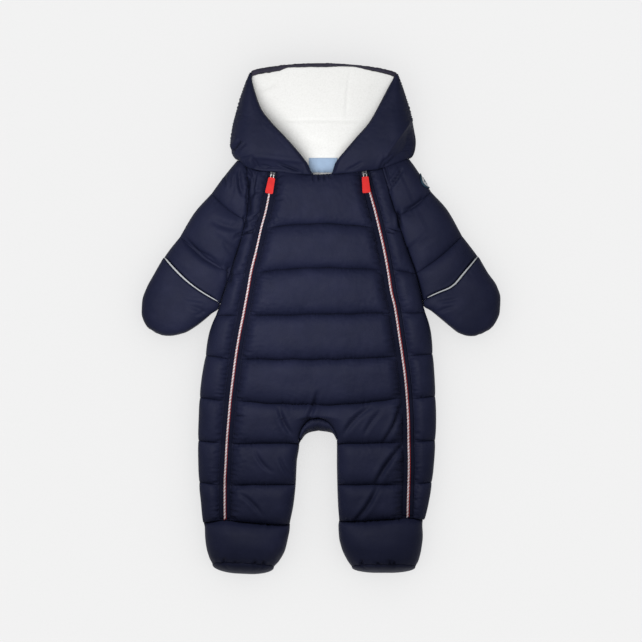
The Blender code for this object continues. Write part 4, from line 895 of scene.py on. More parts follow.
def gathers(line):
    """Height of the small puckers that a line of stitching draws up beside it."""
    group = 0.35 + 0.9 * max(0.0, 0.3 + noise_at(line.along / 37.0, line.seed + 0.3))
    ripple = noise_at(line.along / GATHER_PITCH, line.seed)
    ripple += 0.5 * noise_at(line.along / (GATHER_PITCH * 0.5), line.seed + 5)
    reach = GATHER_REACH * (1 + 0.7 * noise_at(line.along / 11.0, line.seed + 9))
    height = GATHER_HEIGHT * group * ripple * exp(-line.distance / reach)
    return height * min(1.0, 0.35 + line.distance / 3.0)


# A place of a cloth, how firmly it is held, and the lines of stitching near it, which run either
# with the rows of points or over them.
Spot = namedtuple("Spot", "outer inner held lines")
Line = namedtuple("Line", "distance along seed way")
WITH_ROWS = 0
OVER_ROWS = 1
CLOTHS = []


class Cloth:
    """A padded piece: an outer surface that can be blown up, over a plain inner one."""

    def __init__(self, node, fill=0.6):
        self.node = node
        self.fill = fill
        self.spots = []
        self.faces = []
        self.above = None
        CLOTHS.append(self)

    def add_row(self, spots):
        first = len(self.spots)
        self.spots += spots
        return list(range(first, len(self.spots)))

    def join(self, row, next_row):
        for corners in zip(row, row[1:], next_row[1:], next_row):
            self.faces.append(tuple(dict.fromkeys(corners)))

    def stack(self, row):
        """Joins a row to the one above it."""
        if self.above:
            self.join(self.above, row)
        self.above = row

    def close_end(self, spot):
        centre = self.add_row([spot])[0]
        for a, b in zip(self.above, self.above[1:]):
            self.faces.append((a, b, centre))


def spread(steps):
    """Shares from 0 up to 1, without it, closer together towards both ends."""
    shares = [i / steps for i in range(steps)]
    return [mix(t, (1 - cos(pi * t)) / 2, CROWDING) for t in shares]


def fine_rows(fork_part):
    """Rows of points down the suit, closest together at the stitching and round the fork."""
    fine = []
    for channel in range(len(QUILT) - 1):
        parts = spread(max(FEWEST_ROWS, round(channel_height(channel) / ROW_PITCH)))
        if channel == FORK_CHANNEL and fork_part:
            nearest = min(range(len(parts)), key=lambda i: abs(parts[i] - fork_part))
            parts[nearest] = fork_part
        fine += [Row(channel, part) for part in parts]
    return fine + [LAST_ROW]


def seam_distance(part, length):
    """Distance to the nearer of the two lines of stitching beside a pillow."""
    return min(part, 1 - part) * length


def wander(row, x):
    """How far the stitching strays from its drawn line."""
    def stray(line):
        inside = 0 < line < len(QUILT) - 1
        return SEAM_WANDER * noise_at(x / WANDER_LENGTH, SEEDS["quilting"] + line) if inside else 0.0

    return mix(stray(row.channel), stray(row.channel + 1), row.part)


def panel_row(row, side, inner):
    """A fine row of a front panel, from the zip's slot to its other edge."""
    zip_x, zip_y = zip_place(row, side)
    if inner:
        end_y = inner_line_y(row, side)
        end_x = side.front_fork_at(end_y)
        top_end_x = CENTRE_X
        columns, zip_ramp, lower, edge_rise = FRONT_COLUMNS, ZIP_RAMP, 0.0, EDGE_RISE
        if row.channel == FORK_CHANNEL:
            edge_rise = FORK_RISE
    else:
        end_x, end_y = scalloped_edge(row, side)
        top_end_x = edge_place(TOP_ROW, side)[0]
        columns, zip_ramp, lower = SIDE_COLUMNS, SIDE_RAMP, SIDE_LOWER
        edge_rise = mix(ARMHOLE_RISE, EDGE_RISE, below_armpit(end_y))
    width = abs(end_x - zip_x)
    turn = copysign(1, end_x - zip_x)
    top_zip_x = zip_place(TOP_ROW, side)[0]
    crown_rise = mix(SEAM_RISE, QUILT[row.channel].crown - lower, full(row.part))
    height = channel_height(row.channel)
    free_edge = not inner or past_fork(row, FORK_PART_FRONT)
    seed = row.channel + 20 * inner + 40 * (side.turn > 0)
    distances = [ZIP_SLOT / 2, ZIP_LEDGE * LEDGE_MIDDLE, ZIP_LEDGE]
    distances += [mix(ZIP_LEDGE, width, (i + 1) / columns) for i in range(columns)]
    spots = []
    for index, distance in enumerate(distances):
        beside_zip = distance - ZIP_LEDGE
        across = max(0.0, beside_zip / (width - ZIP_LEDGE))
        x = zip_x + turn * distance
        y = mix(zip_y, end_y, sin(across * pi / 2) if inner else across)
        level = ledge_rise(row)
        lines = []
        if beside_zip > 0:
            if row.channel == 0:
                y += neck_shift(side, mix(top_zip_x, top_end_x, across)) * (1 - row.part)
            else:
                level = mix(min(level, SEAM_RISE + 1.0), level, full(row.part))
            y += wander(row, x)
            lines = [Line(seam_distance(row.part, height), x, seed, WITH_ROWS),
                     Line(beside_zip, y, seed + 11, OVER_ROWS)]
        rise = mix(level, crown_rise, steep_ramp(beside_zip / zip_ramp))
        if free_edge:
            rise = mix(edge_rise, rise, quarter_round((width - distance) / EDGE_ROUND))
        at_edge = index == len(distances) - 1 and free_edge
        held = row.part in (0.0, 1.0) or beside_zip <= 0 or at_edge
        spots.append(Spot((x, y, PARTING + rise), (x, y, PARTING), held, lines))
    return spots


def back_row(row, side):
    """A fine row of the back, from the side seam to the middle or the inner leg edge."""
    edge_x, edge_y = scalloped_edge(row, side)
    end_x = side.back_fork_at(inner_line_y(row, side))
    width = abs(end_x - edge_x)
    turn = copysign(1, end_x - edge_x)
    top_edge_x = edge_place(TOP_ROW, side)[0]
    split = past_fork(row, FORK_PART_BACK)
    rounded = PARTING - EDGE_RISE
    groove = BACK_GROOVE * (1 - full(row.part))
    near = [BACK_ROUND * step / BACK_EDGE_STEPS for step in range(BACK_EDGE_STEPS + 1)]
    middle = [mix(BACK_ROUND, width - BACK_ROUND, step / BACK_COLUMNS)
              for step in range(1, BACK_COLUMNS)]
    spots = []
    for distance in near + middle + [width - other for other in reversed(near)]:
        x = edge_x + turn * distance
        y = row_y(row, side, x)
        if row.channel == 0:
            y += neck_shift(side, mix(top_edge_x, CENTRE_X, distance / width)) * (1 - row.part)
        bottom = rounded * below_armpit(edge_y) * (1 - quarter_round(distance / BACK_ROUND))
        if split:
            bottom = max(bottom, rounded * (1 - quarter_round((width - distance) / BACK_ROUND)))
        fade = smooth_step(min(distance, width - distance if split else width) / GROOVE_FADE)
        bottom = min(PARTING - BACK_THINNEST, bottom + groove * fade)
        spots.append(Spot((x, y, bottom), (x, y, PARTING - SEAM_GAP), True, []))
    return spots


def make_halves(node, fork_part, row_of):
    """A panel of two halves, whole down to the fork and parted below it."""
    cloth = Cloth(node)
    above = ()
    for row in fine_rows(fork_part):
        left = cloth.add_row(row_of(row, SIDES["left"]))
        right_spots = row_of(row, SIDES["right"])
        if past_fork(row, fork_part):
            right = cloth.add_row(right_spots)[::-1]
        else:
            right = [left[-1]] + cloth.add_row(right_spots[:-1])[::-1]
        for upper, lower in zip(above, (left, right)):
            cloth.join(upper, lower)
        above = (left, right)


def make_side_front(side):
    cloth = Cloth(side.name + "_side_front")
    for row in fine_rows(None):
        cloth.stack(cloth.add_row(panel_row(row, side, False)))


def make_gusset():
    """The small arched piece between the legs."""
    cloth = Cloth("crotch_gusset")
    ends = []
    last = GUSSET_ARCH[-1].index
    for side in SIDES.values():
        half = range(1, GUSSET_STEPS + 1) if side.turn > 0 else reversed(range(GUSSET_STEPS + 1))
        for step in half:
            at = section(GUSSET_ARCH, last * step / GUSSET_STEPS)
            arch_y = line_y(Row(FORK_CHANNEL, at.part), "inner")
            clear_x = copysign(GUSSET_GAP, -side.front_fork_at(arch_y)) * min(1.0, at.index / 2)
            arch = Vector((side.front_fork_at(arch_y) + clear_x, arch_y - GUSSET_GAP))
            ends.append((arch, Vector((side.back_fork_at(at.brink_y) + clear_x, at.brink_y))))
    for number, (arch, brink) in enumerate(ends):
        spots = []
        for step in range(GUSSET_COLUMNS + 1):
            column = step / GUSSET_COLUMNS
            x, y = arch.lerp(brink, column)
            rise = mix(mix(FORK_RISE, GUSSET_CROWN, sin(pi * column)), EDGE_RISE, column ** 3)
            held = step in (0, GUSSET_COLUMNS) or number in (0, len(ends) - 1)
            distance = seam_distance(column, (arch - brink).length)
            lines = [Line(distance, number * 3.0, SEEDS["gusset"], OVER_ROWS)]
            spots.append(Spot((x, y, PARTING + rise), (x, y, PARTING), held, lines))
        cloth.stack(cloth.add_row(spots))


def stack_ring(cloth, points, is_open, held, lines):
    """A ring of a limb; the underside rests on the floor, so it stays put."""
    spots = []
    for j, (outer, inner) in enumerate(points):
        below = j >= HALF_RING or j == 0
        hold = 1.0 if held or below else 1 - min(1.0, FREE_RAMP * sin(pi * j / HALF_RING))
        spots.append(Spot(outer, inner, hold, [] if below else lines(j, outer)))
    if is_open:
        cloth.stack(cloth.add_row(spots))
    else:
        ring = cloth.add_row(spots[:-1])
        cloth.stack(ring + ring[:1])


def make_sleeve(side):
    cloth = Cloth(side.name + "_sleeve")
    parts = [channel + part for channel in range(ARM_CHANNELS) for part in spread(ARM_STEPS)]
    for part in parts + [ARM_CHANNELS]:
        points, armhole = arm_ring(side, part)
        (near_x, near_y, _), (far_x, far_y, _) = points[0][0], points[HALF_RING][0]
        width = hypot(near_x - far_x, near_y - far_y)
        seed = SEEDS["sleeve"] + int(part) + 10 * (side.turn > 0)
        distance = seam_distance(part % 1.0, ARM_CHANNEL_LENGTH)

        def lines(j, place):
            along = width * j / HALF_RING
            quilting = Line(distance, along, seed, WITH_ROWS)
            return [quilting, Line(along, place[1], seed + 7, OVER_ROWS)] if armhole else [quilting]

        stack_ring(cloth, points, armhole, part % 1.0 == 0.0, lines)


def make_mitten(side):
    cloth = Cloth(side.name + "_mitten", 0.7)
    seed = SEEDS["mitten"] + (side.turn > 0)
    last = side.hand[-1]
    steps = int(last.part * HAND_STEPS)
    for step in range(steps + 1):
        part = step / HAND_STEPS
        mouth = MOUTH_SETBACK + HAND_SECTION * part

        def lines(j, _):
            return [Line(mouth, LIMB_GIRTH * j / HALF_RING, seed, WITH_ROWS)]

        stack_ring(cloth, hand_ring(side, part), False, step in (0, steps), lines)
    tip = Vector(((last.inner_x + last.outer_x) / 2, (last.inner_y + last.outer_y) / 2, PARTING))
    seam = Vector((0, TIP_SEAM, 0))
    cloth.close_end(Spot(tuple(tip - seam), tuple(tip + seam), True, []))


def make_boot(side):
    cloth = Cloth(side.name + "_boot", 0.8)
    seed = SEEDS["boot"] + side.turn
    for part in spread(BOOT_STEPS) + [1.0]:

        def lines(j, _):
            along = LIMB_GIRTH * j / HALF_RING
            return [Line(BOOT_LENGTH * part, along, seed, WITH_ROWS),
                    Line(BOOT_LENGTH * (1 - part), along, seed + 10, WITH_ROWS)]

        stack_ring(cloth, boot_ring(side, part), False, part in (0.0, 1.0), lines)


def band_faces(rings, sides):
    """Quads between rings of points that follow one another."""
    faces = []
    for first in range(0, (rings - 1) * sides, sides):
        for k in range(sides):
            a, b = first + k, first + (k + 1) % sides
            faces.append((a, b, b + sides, a + sides))
    return faces


def capped_faces(rings, sides):
    """Quads between rings, closed by a flat end before the first and behind the last."""
    last = (rings - 1) * sides
    return band_faces(rings, sides) + [tuple(range(sides))[::-1], tuple(range(last, last + sides))]


def make_sole(side):
    """A rounded pad that closes the boot, in rings that swell from the seam and draw together."""
    seam, lipped = ([Vector(outer) for outer, _ in boot_ring(side, 1.0, wider)[:-1]]
                    for wider in (0.0, SOLE_LIP))
    middle = sum(seam, Vector()) / len(seam)
    gap = Vector((0, SOLE_GAP, 0))
    rings = []
    for step in range(SOLE_STEPS + 1):
        share = step / SOLE_STEPS
        turn = share * pi / 2
        ring = []
        for near, wide in zip(seam, lipped):
            point = near.lerp(wide, sin(min(1.0, share * 4) * pi / 2)) - gap
            point = point.lerp(middle - gap, SOLE_ROUNDING * (1 - cos(turn)))
            tuck = max(exp(-((near.x - tick) / SOLE_TICK_WIDTH) ** 2) for tick in SOLE_TICKS[side.name])
            tuck *= SOLE_PUCKER * exp(-5 * share) * smooth_step((near.z - PARTING) / 8)
            point.y -= SOLE_BULGE[side.name] * sin(turn) - tuck
            point.z = max(0.0, point.z - tuck)
            ring.append(point)
        rings.append(ring)
    centre = sum(rings[-1], Vector()) / len(seam)
    bulge = Vector((0, SOLE_CENTRE_BULGE * (1 - SOLE_SHRINK ** 2), 0))
    rings.append([centre.lerp(point, SOLE_SHRINK) - bulge for point in rings[-1]])
    verts = [point for ring in rings for point in ring] + [centre - Vector((0, SOLE_CENTRE_BULGE, 0))]
    sides = len(seam)
    tip = len(verts) - 1
    faces = [tuple(range(sides))[::-1]] + band_faces(len(rings), sides)
    faces += [(tip - sides + j, tip - sides + (j + 1) % sides, tip) for j in range(sides)]
    make_object(side.name + "_sole_cloth", verts, faces, side.name + "_sole", [nylon], 0.7)


def make_hood_side(side):
    """A folded-over hood side with its free edge rolled round the padding."""
    cloth = Cloth(side.name + "_hood_side")
    last_part = HOOD[-1].part
    steps = int(last_part * HOOD_STEPS)
    seed = SEEDS["hood side"] + side.turn
    for step in range(steps + 1):
        part = step / HOOD_STEPS
        row = hood_side_row(side, part)
        edge_out, edge_in = (Vector(place) for place in row[-1])
        toward = edge_out - Vector(row[-3][0])
        toward.z = 0
        toward.normalize()
        half = (edge_out.z - edge_in.z) / 2
        roll = min(half, HOOD_ROLL)
        span = max((Vector(row[0][0]) - edge_out).length, 1.0)
        from_brim, from_neck = part * HOOD_SECTION, (last_part - part) * HOOD_SECTION
        spots = []
        for index, (share, (outer, inner)) in enumerate(zip(HOOD_SIDE_SHARES, row)):
            back = -toward * roll * share
            held = step in (0, steps) or index in (0, len(row) - 1)
            lines = [] if held else [
                Line(share * span, from_brim, seed, OVER_ROWS),
                Line((1 - share) * span + HOOD_EDGE_EASE, from_brim, seed + 4, OVER_ROWS),
                Line(from_neck, share * span, seed + 8, WITH_ROWS)]
            spots.append(Spot(tuple(Vector(outer) + back), tuple(Vector(inner) + back), held, lines))
        centre = (edge_out.z + edge_in.z) / 2
        for turn in HOOD_ROLL_TURNS:
            out = quarter_round(turn)
            up = half * sqrt(1 - out ** 2)
            x, y, _ = edge_out + toward * roll * (out - 1)
            spots.append(Spot((x, y, centre + up), (x, y, centre - up), True, []))
        cloth.stack(cloth.add_row(spots))


def make_hood_back():
    cloth = Cloth("hood_back", 0.5)
    for step in range(int(HOOD[-1].part * HOOD_BACK_STEPS) + 1):
        at = section(HOOD, step / HOOD_BACK_STEPS)
        width = at.right_x - at.left_x
        spots = []
        for share in HOOD_BACK_SHARES:
            x, y = hood_line(at, share)
            side_round = 1 - quarter_round(min(share, 1 - share) * width / BACK_ROUND)
            bottom = mix(max(0.0, at.lift - BRIM_OVERHANG), PARTING - EDGE_RISE + at.lift, side_round)
            spots.append(Spot((x, y, bottom), (x, y, hood_floor(at, share)), True, []))
        cloth.stack(cloth.add_row(spots))


brim_width = curve(BRIM_PLACES, "x", "width")


def brim_reach(x):
    """How far the brim reaches down over the lining at a place."""
    seed = SEEDS["brim"]
    return brim_width(x) * (1 + 0.14 * noise_at(x / 13.0, seed) + 0.10 * noise_at(x / 5.0, seed + 1))


def brim_tuck(x, lean):
    """Height of the small tucks in which the brim is gathered."""
    seed = SEEDS["brim"] + 2
    fine = BRIM_TUCK * noise_at(x / 3.1 + 0.35 * lean * noise_at(x / 17.0, seed + 3), seed)
    return fine * (0.4 + 0.6 * abs(lean)) + BRIM_TUCK * 0.8 * noise_at(x / 6.5, seed + 2 + (lean > 0))


def make_brim():
    """The turned edge over the forehead: a soft flattened roll, gathered in small tucks."""
    at = section(HOOD, 0.0)
    verts = []
    for step in range(BRIM_STEPS + 1):
        share = mix(BRIM_INSET, 1 - BRIM_INSET, step / BRIM_STEPS)
        x, y = hood_line(at, share)
        middle = hood_floor(at, share) + SEAM_GAP + BRIM_HEIGHT / 2 - BRIM_SINK
        end = min(1.0, 0.35 + 8 * min(step, BRIM_STEPS - step) / BRIM_STEPS)
        width = brim_reach(x)
        drop = BRIM_LOWER * sin(pi * share)
        for k in range(BRIM_SIDES):
            angle = 2 * pi * k / BRIM_SIDES
            lean = squarer(cos(angle), BRIM_POWER)
            tuck = brim_tuck(x, lean)
            tall = BRIM_HEIGHT / 2 * squarer(sin(angle), BRIM_POWER) * end
            forward = y + 0.5 - drop + width * (lean - 1) / 2 + 0.3 * tuck
            verts.append(Vector((x, forward, middle + tall + tuck)))
    last = BRIM_STEPS * BRIM_SIDES
    faces = band_faces(BRIM_STEPS + 1, BRIM_SIDES)
    faces += [tuple(range(BRIM_SIDES)), tuple(range(last, last + BRIM_SIDES))[::-1]]
    make_object("hood_brim_cloth", verts, faces, "hood_brim", [brim_weave], 0.5)


def lining_relief(x, y):
    """Soft folds and the sewn seams of the fleece."""
    folds = sum(fold_height(fold, x, y) for fold in LINING_FOLDS)
    return folds + 0.35 * noise.noise(Vector((x / 31.0, y / 31.0, 3.3)))


def make_lining():
    """Fleece over the hood's back, sewn from a lower and an upper piece."""
    brim = section(HOOD, 0.0)
    first_section = HOOD[0].left_y - HOOD[1].left_y
    last = HOOD[-1].part
    steps = int(last * LINING_STEPS)
    grid = []
    for step in range(steps + 1):
        inset = mix(LINING_CORNER, LINING_FOOT, smooth_step(step / steps * last / 1.4))
        line = []
        for column in range(LINING_COLUMNS + 1):
            share = mix(inset, 1 - inset, column / LINING_COLUMNS)
            under_brim = brim_reach(hood_line(brim, share)[0]) + LINING_BELOW_BRIM
            at = section(HOOD, mix(under_brim / first_section, last, step / steps))
            x, y = hood_line(at, share)
            floor = hood_floor(at, share) + SEAM_GAP
            line.append((x, y, floor + LINING_THICKNESS + lining_relief(x, y), floor))
        grid.append(line)
    return make_sheet("hood_lining_cloth", grid, "hood_lining", fleece)


def make_sheet(name, grid, node, material):
    """A thin closed sheet over a grid of places, each with x, y and its upper and lower heights."""
    pairs = [[((x, y, top), (x, y, under)) for x, y, top, under in line] for line in grid]
    return make_patch(name, pairs, node, material)


def make_patch(name, grid, node, material):
    """A thin closed sheet from rows of pairs of upper and lower points."""
    columns = len(grid[0])
    verts = [pair[face] for face in (0, 1) for line in grid for pair in line]
    low = len(grid) * columns
    faces = []
    for i in range(len(grid) - 1):
        for a in range(i * columns, (i + 1) * columns - 1):
            quad = (a, a + 1, a + 1 + columns, a + columns)
            faces += [quad, tuple(corner + low for corner in reversed(quad))]
    rim = list(range(columns)) + list(range(2 * columns - 1, low, columns))
    rim += list(range(low - 2, low - columns - 1, -1)) + list(range(low - 2 * columns, 0, -columns))
    faces += [(b, a, a + low, b + low) for a, b in zip(rim, rim[1:] + rim[:1])]
    return make_object(name, verts, faces, node, [material])


def link(thing):
    bpy.context.scene.collection.objects.link(thing)
    return thing


def make_object(name, verts, faces, node, materials, fill=None):
    """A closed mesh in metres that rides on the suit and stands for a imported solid."""
    mesh = bpy.data.meshes.new(name)
    mesh.from_pydata([tuple(Vector(v) * MM) for v in verts], [], faces)
    shape = bmesh.new()
    shape.from_mesh(mesh)
    bmesh.ops.recalc_face_normals(shape, faces=shape.faces)
    shape.to_mesh(mesh)
    shape.free()
    mesh.shade_smooth()
    for material in materials:
        mesh.materials.append(material)
    thing = link(bpy.data.objects.new(name, mesh))
    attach(thing, "suit")
    if node:
        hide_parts(node)
    return thing


def surface_normals(points, faces):
    """Unit normals of an open surface, as an array."""
    mesh = bpy.data.meshes.new("scratch")
    mesh.from_pydata([tuple(p) for p in points], [], faces)
    mesh.update()
    normals = np.empty(len(points) * 3)
    mesh.vertices.foreach_get("normal", normals)
    bpy.data.meshes.remove(mesh)
    return normals.reshape(-1, 3)


def beside(line, x, y):
    """Where one or many places lie along a line, 0 to 1 on it, and how far across it, in mm."""
    run_x = line.x1 - line.x0
    run_y = line.y1 - line.y0
    length = hypot(run_x, run_y)
    x = x - line.x0
    y = y - line.y0
    return (x * run_x + y * run_y) / length ** 2, (x * run_y - y * run_x) / length


def swings(line, points):
    """For an array of places, half a wave along a line, and how far across it they lie."""
    along, across = beside(line, points[:, 0], points[:, 1])
    return np.sin(pi * np.clip(along, 0, 1)), across


def fold_height(fold, x, y):
    """Height of one fold of the lining at a place: a trough with a ridge on one side."""
    along, across = beside(fold, x, y)
    if not 0 < along < 1:
        return 0.0
    narrow = (across - fold.bow * sin(pi * along)) / fold.width
    if abs(narrow) > 4:
        return 0.0
    trough = exp(-narrow ** 2) - 0.35 * exp(-((narrow - 1.9) ** 2))
    return -fold.depth * sin(pi * along) ** 0.7 * trough


def creases_at(table, points):
    """Height that a table of creases gives at an array of places."""
    rise = np.zeros(len(points))
    for crease in table:
        swing, across = swings(crease, points)
        narrow = (across - crease.bow * swing) / crease.width
        trough = np.exp(-narrow ** 2) - 0.4 * np.exp(-((narrow - 2.0) / 1.3) ** 2)
        trough -= 0.25 * np.exp(-((narrow + 2.2) / 1.4) ** 2)
        rise -= crease.depth * swing ** 0.7 * trough
    return rise


def pits_at(points):
    """Share by which the drawn-in stretches of the armhole seams flatten an array of places."""
    share = np.zeros(len(points))
    for pit in PITS:
        swing, across = swings(pit, points)
        share = np.maximum(share, pit.depth * swing * np.exp(-(across / pit.width) ** 2))
    return share


def facets_at(points):
    """Height that broad folded steps give at an array of places: lower beyond each line."""
    rise = np.zeros(len(points))
    for facet in FACETS:
        swing, across = swings(facet, points)
        drop = 1 - np.exp(-np.maximum(-across, 0) / facet.reach)
        lip = 0.14 * np.exp(-((1.5 * facet.width - across) / (1.5 * facet.width)) ** 2)
        rise -= facet.depth * swing ** 0.4 * (drop - lip)
    return rise


def nudged(points):
    """Places shifted where the cuff's fold pulls a mitten's mouth over."""
    points = np.array(points, dtype=float)
    for nudge in NUDGES:
        away = np.hypot(points[:, 0] - nudge.x, points[:, 1] - nudge.y)
        pull = np.exp(-(away / nudge.radius) ** 2)
        points[:, 0] += nudge.dx * pull
        points[:, 1] += nudge.dy * pull
    return points


def short_tucks(number, seed, places, length, depth):
    """Small creases that fan out from a line of stitching, uneven in length and depth."""
    tucks = []
    for index in range(number):
        share = (index + 0.5 + 0.45 * noise_at(index * 3.7, seed)) / number
        x, y, out_x = places(min(max(share, 0.0), 1.0))
        lean = 0.55 * noise_at(index * 2.3, seed + 1)
        run = length * (0.75 + 0.7 * noise_at(index * 1.9, seed + 2))
        deep = depth * (0.7 + 0.9 * noise_at(index * 4.1, seed + 3))
        if deep < 0.25 * depth:
            continue
        step_x, step_y = out_x * cos(lean), out_x * sin(lean)
        width = 1.7 + 0.9 * abs(noise_at(index * 5.3, seed + 4))
        bow = 2.5 * noise_at(index * 1.3, seed + 5)
        tucks.append(Crease(
            x - step_x * 2, y - step_y * 2, x + step_x * run, y + step_y * run, width, deep, bow))
    return tucks


def zip_tucks():
    """Tucks beside both zips, most of all on the lower body and the legs."""
    tucks = []
    for side in SIDES.values():
        for inner, toward in ((True, -side.turn), (False, side.turn)):
            for channel in range(len(QUILT) - 1):
                top, bottom = (getattr(QUILT[channel + below], side.name + "_zip") for below in (0, 1))
                pitch, strength = LOW_TUCKS if channel > 2 else HIGH_TUCKS

                def places(share):
                    y = mix(top, bottom, share)
                    return side.zip_at(y) + toward * (ZIP_LEDGE + 1.5), y, toward

                seed = SEEDS["inner tucks" if inner else "outer tucks"] + channel + 7 * side.turn
                reach = (INNER_TUCK if inner else OUTER_TUCK) * strength
                tucks += short_tucks(round((top - bottom) / pitch), seed, places, reach, TUCK_DEPTH)
    return tucks


def boot_tucks(side):
    """Short tucks across the seam between a boot and its sole."""
    tucks = []
    for index, x in enumerate(SOLE_TICKS[side.name]):
        y = SOLE_Y[side.name] + SOLE_SLOPE[side.name] * (x - side.boot[-1].left)
        reach = 7.0 - 2.0 * (index % 2)
        tucks.append(Crease(x + 0.6, y + reach, x - 0.6, y - reach, 1.4, 4.6, 0.3))
    return tucks


def cloth_state(cloth):
    """Arrays of a cloth: its places, how free they are, how slack, and their first unevenness."""
    outer = np.array([spot.outer for spot in cloth.spots])
    inner = np.array([spot.inner for spot in cloth.spots])
    normals = surface_normals(outer, cloth.faces)
    if np.sum(normals * (outer - inner)) < 0:
        normals = -normals
    rise = np.zeros(len(outer))
    free = np.zeros(len(outer))
    slack = np.full((len(outer), 2), SLACK_ACROSS)
    for index, spot in enumerate(cloth.spots):
        if not spot.lines:
            continue
        near = min(line.distance for line in spot.lines)
        place = Vector(spot.outer)
        x, y, z = spot.outer
        patch = max(0.1, 1 + SLACK_UNEVEN * noise.noise(place / SLACK_PATCH + Vector((0, 0, 5.7))))
        free[index] = 1.0 - float(spot.held)
        for way in (WITH_ROWS, OVER_ROWS):
            distances = [line.distance for line in spot.lines if line.way == way]
            if distances:
                fade = exp(-min(distances) / SLACK_REACH)
                slack[index, way] = patch * mix(SLACK_MIDDLE[way], SLACK_SEAM[way], fade)
        fine = sum(share * noise.noise(place / size) for share, size in FINE_WRINKLES)
        rise[index] = SEED_HEIGHT * fine + sum(gathers(line) for line in spot.lines)
        broad = noise.noise(Vector((x / 34.0, y / 27.0, z / 40.0 + 2.0)))
        rise[index] += UNEVEN * broad * smooth_step(near / 14.0)
        rise[index] *= smooth_step(near / 3.0)
    return outer, inner, normals, rise, free, slack


def vertex_ways(place, quads):
    """Unit normals at the corners of an array of quads."""
    across = np.cross(place[quads[:, 2]] - place[quads[:, 0]], place[quads[:, 3]] - place[quads[:, 1]])
    corners = quads.ravel()
    total = np.stack([np.bincount(corners, np.repeat(row, 4), len(place)) for row in across.T], 1)
    return total / np.maximum(np.linalg.norm(total, axis=1), 1e-9)[:, None]


def sides_of(quads, *ways):
    """Each side of the quads once, as pairs of corners."""
    return np.unique(np.sort(np.vstack([quads[:, way] for way in ways]), axis=1), axis=0)


def links_at(a, b, count):
    """How many links end at each point."""
    return np.maximum(np.bincount(a, minlength=count) + np.bincount(b, minlength=count), 1)


def settle(cloth, state):
    """Lets the outer cloth buckle between its stitching, blown up a little by the padding."""
    outer, _, normals, rise, free, slack = state
    count = len(outer)
    quads = np.array([face for face in cloth.faces if len(face) == 4])
    along = sides_of(quads, [0, 1], [3, 2])
    sides = np.vstack([along, sides_of(quads, [0, 3], [1, 2])])
    a, b = np.vstack([sides, quads[:, [0, 2]], quads[:, [1, 3]]]).T
    both = (slack[a] + slack[b]) / 2
    spare = both.mean(axis=1)
    spare[:len(along)] = both[:len(along), WITH_ROWS]
    spare[len(along):len(sides)] = both[len(along):len(sides), OVER_ROWS]
    rest = np.linalg.norm(outer[a] - outer[b], axis=1) * (1 + spare)
    links = links_at(a, b, count)[:, None]
    near_a, near_b = sides.T
    near = links_at(near_a, near_b, count)[:, None]
    loose = free[:, None]
    place = outer + normals * (rise * free)[:, None]
    facing = 1.0 if np.sum(vertex_ways(outer, quads) * normals) > 0 else -1.0
    for step in range(SETTLE_STEPS):
        if step % STEPS_PER_NORMAL == 0:
            ways = facing * vertex_ways(place, quads)
        gap = place[b] - place[a]
        length = np.sqrt(np.einsum("ij,ij->i", gap, gap))
        pull = (gap * (0.5 * (length - rest) / length)[:, None]).T
        shift = np.stack([np.bincount(a, row, count) - np.bincount(b, row, count) for row in pull], 1)
        place += (OVERSHOOT * shift / links + PRESSURE * ways) * loose
        moved = place - outer
        around = [np.bincount(near_a, row[near_b], count) + np.bincount(near_b, row[near_a], count)
                  for row in moved.T]
        mean = np.stack(around, 1) / near
        place += BENDING * (mean - moved) * loose
    moved = place - outer
    size = np.linalg.norm(moved, axis=1)
    moved *= np.minimum(1.0, MOVE_LIMIT / np.maximum(size, 1e-9))[:, None]
    return outer + moved


def finish_cloth(cloth, creases):
    """Settles a cloth, presses the larger creases in and closes it over its inner side."""
    state = cloth_state(cloth)
    outer, inner, normals, _, free, _ = state
    moved = settle(cloth, state)
    pressed = creases_at(creases, outer)
    if cloth.node.endswith("hood_side"):
        pressed += facets_at(outer)
    moved += normals * (pressed * free * np.clip(0.3 + normals[:, 2], 0, 1))[:, None]
    if cloth.node.endswith(("sleeve", "side_front")):
        moved[:, 2] -= (moved[:, 2] - inner[:, 2]) * pits_at(outer) * (normals[:, 2] > -0.1)
    moved[:, 2] = np.maximum(moved[:, 2], np.minimum(outer[:, 2], inner[:, 2]))
    count = len(outer)
    edges = dict.fromkeys((a, b) for face in cloth.faces for a, b in zip(face, face[1:] + face[:1]))
    faces = cloth.faces + [tuple(corner + count for corner in reversed(face)) for face in cloth.faces]
    faces += [(b, a, a + count, b + count) for a, b in edges if (b, a) not in edges]
    verts = nudged(np.vstack([moved, inner]))
    return make_object(cloth.node + "_cloth", verts, faces, cloth.node, [nylon], cloth.fill)


def capsule(start, end, radius, sides=6):
    """Vertices and faces of a short rounded stitch between two places."""
    axis = (end - start).normalized()
    side_way = axis.orthogonal().normalized()
    up = axis.cross(side_way)
    angles = [2 * pi * k / sides for k in range(sides)]
    verts = [start.lerp(end, along) + (side_way * cos(angle) + up * sin(angle)) * radius * width
             for along, width in CAPSULE_RINGS for angle in angles]
    return verts, capped_faces(len(CAPSULE_RINGS), sides)


def tube(line, radius, sides, flat=1.0, lumps=None):
    """Vertices and faces of a round cord along a line of places."""
    verts = []
    for index, place in enumerate(line):
        before = line[max(0, index - 1)]
        after = line[min(len(line) - 1, index + 1)]
        axis = (after - before).normalized()
        side_way = axis.cross(Vector((0, 0, 1)))
        side_way = side_way.normalized() if side_way.length > 0.01 else axis.orthogonal().normalized()
        up = side_way.cross(axis)
        for k in range(sides):
            angle = 2 * pi * k / sides
            size = radius * (lumps(index, k) if lumps else 1.0)
            verts.append(place + side_way * cos(angle) * size * flat + up * sin(angle) * size)
    return verts, capped_faces(len(line), sides)


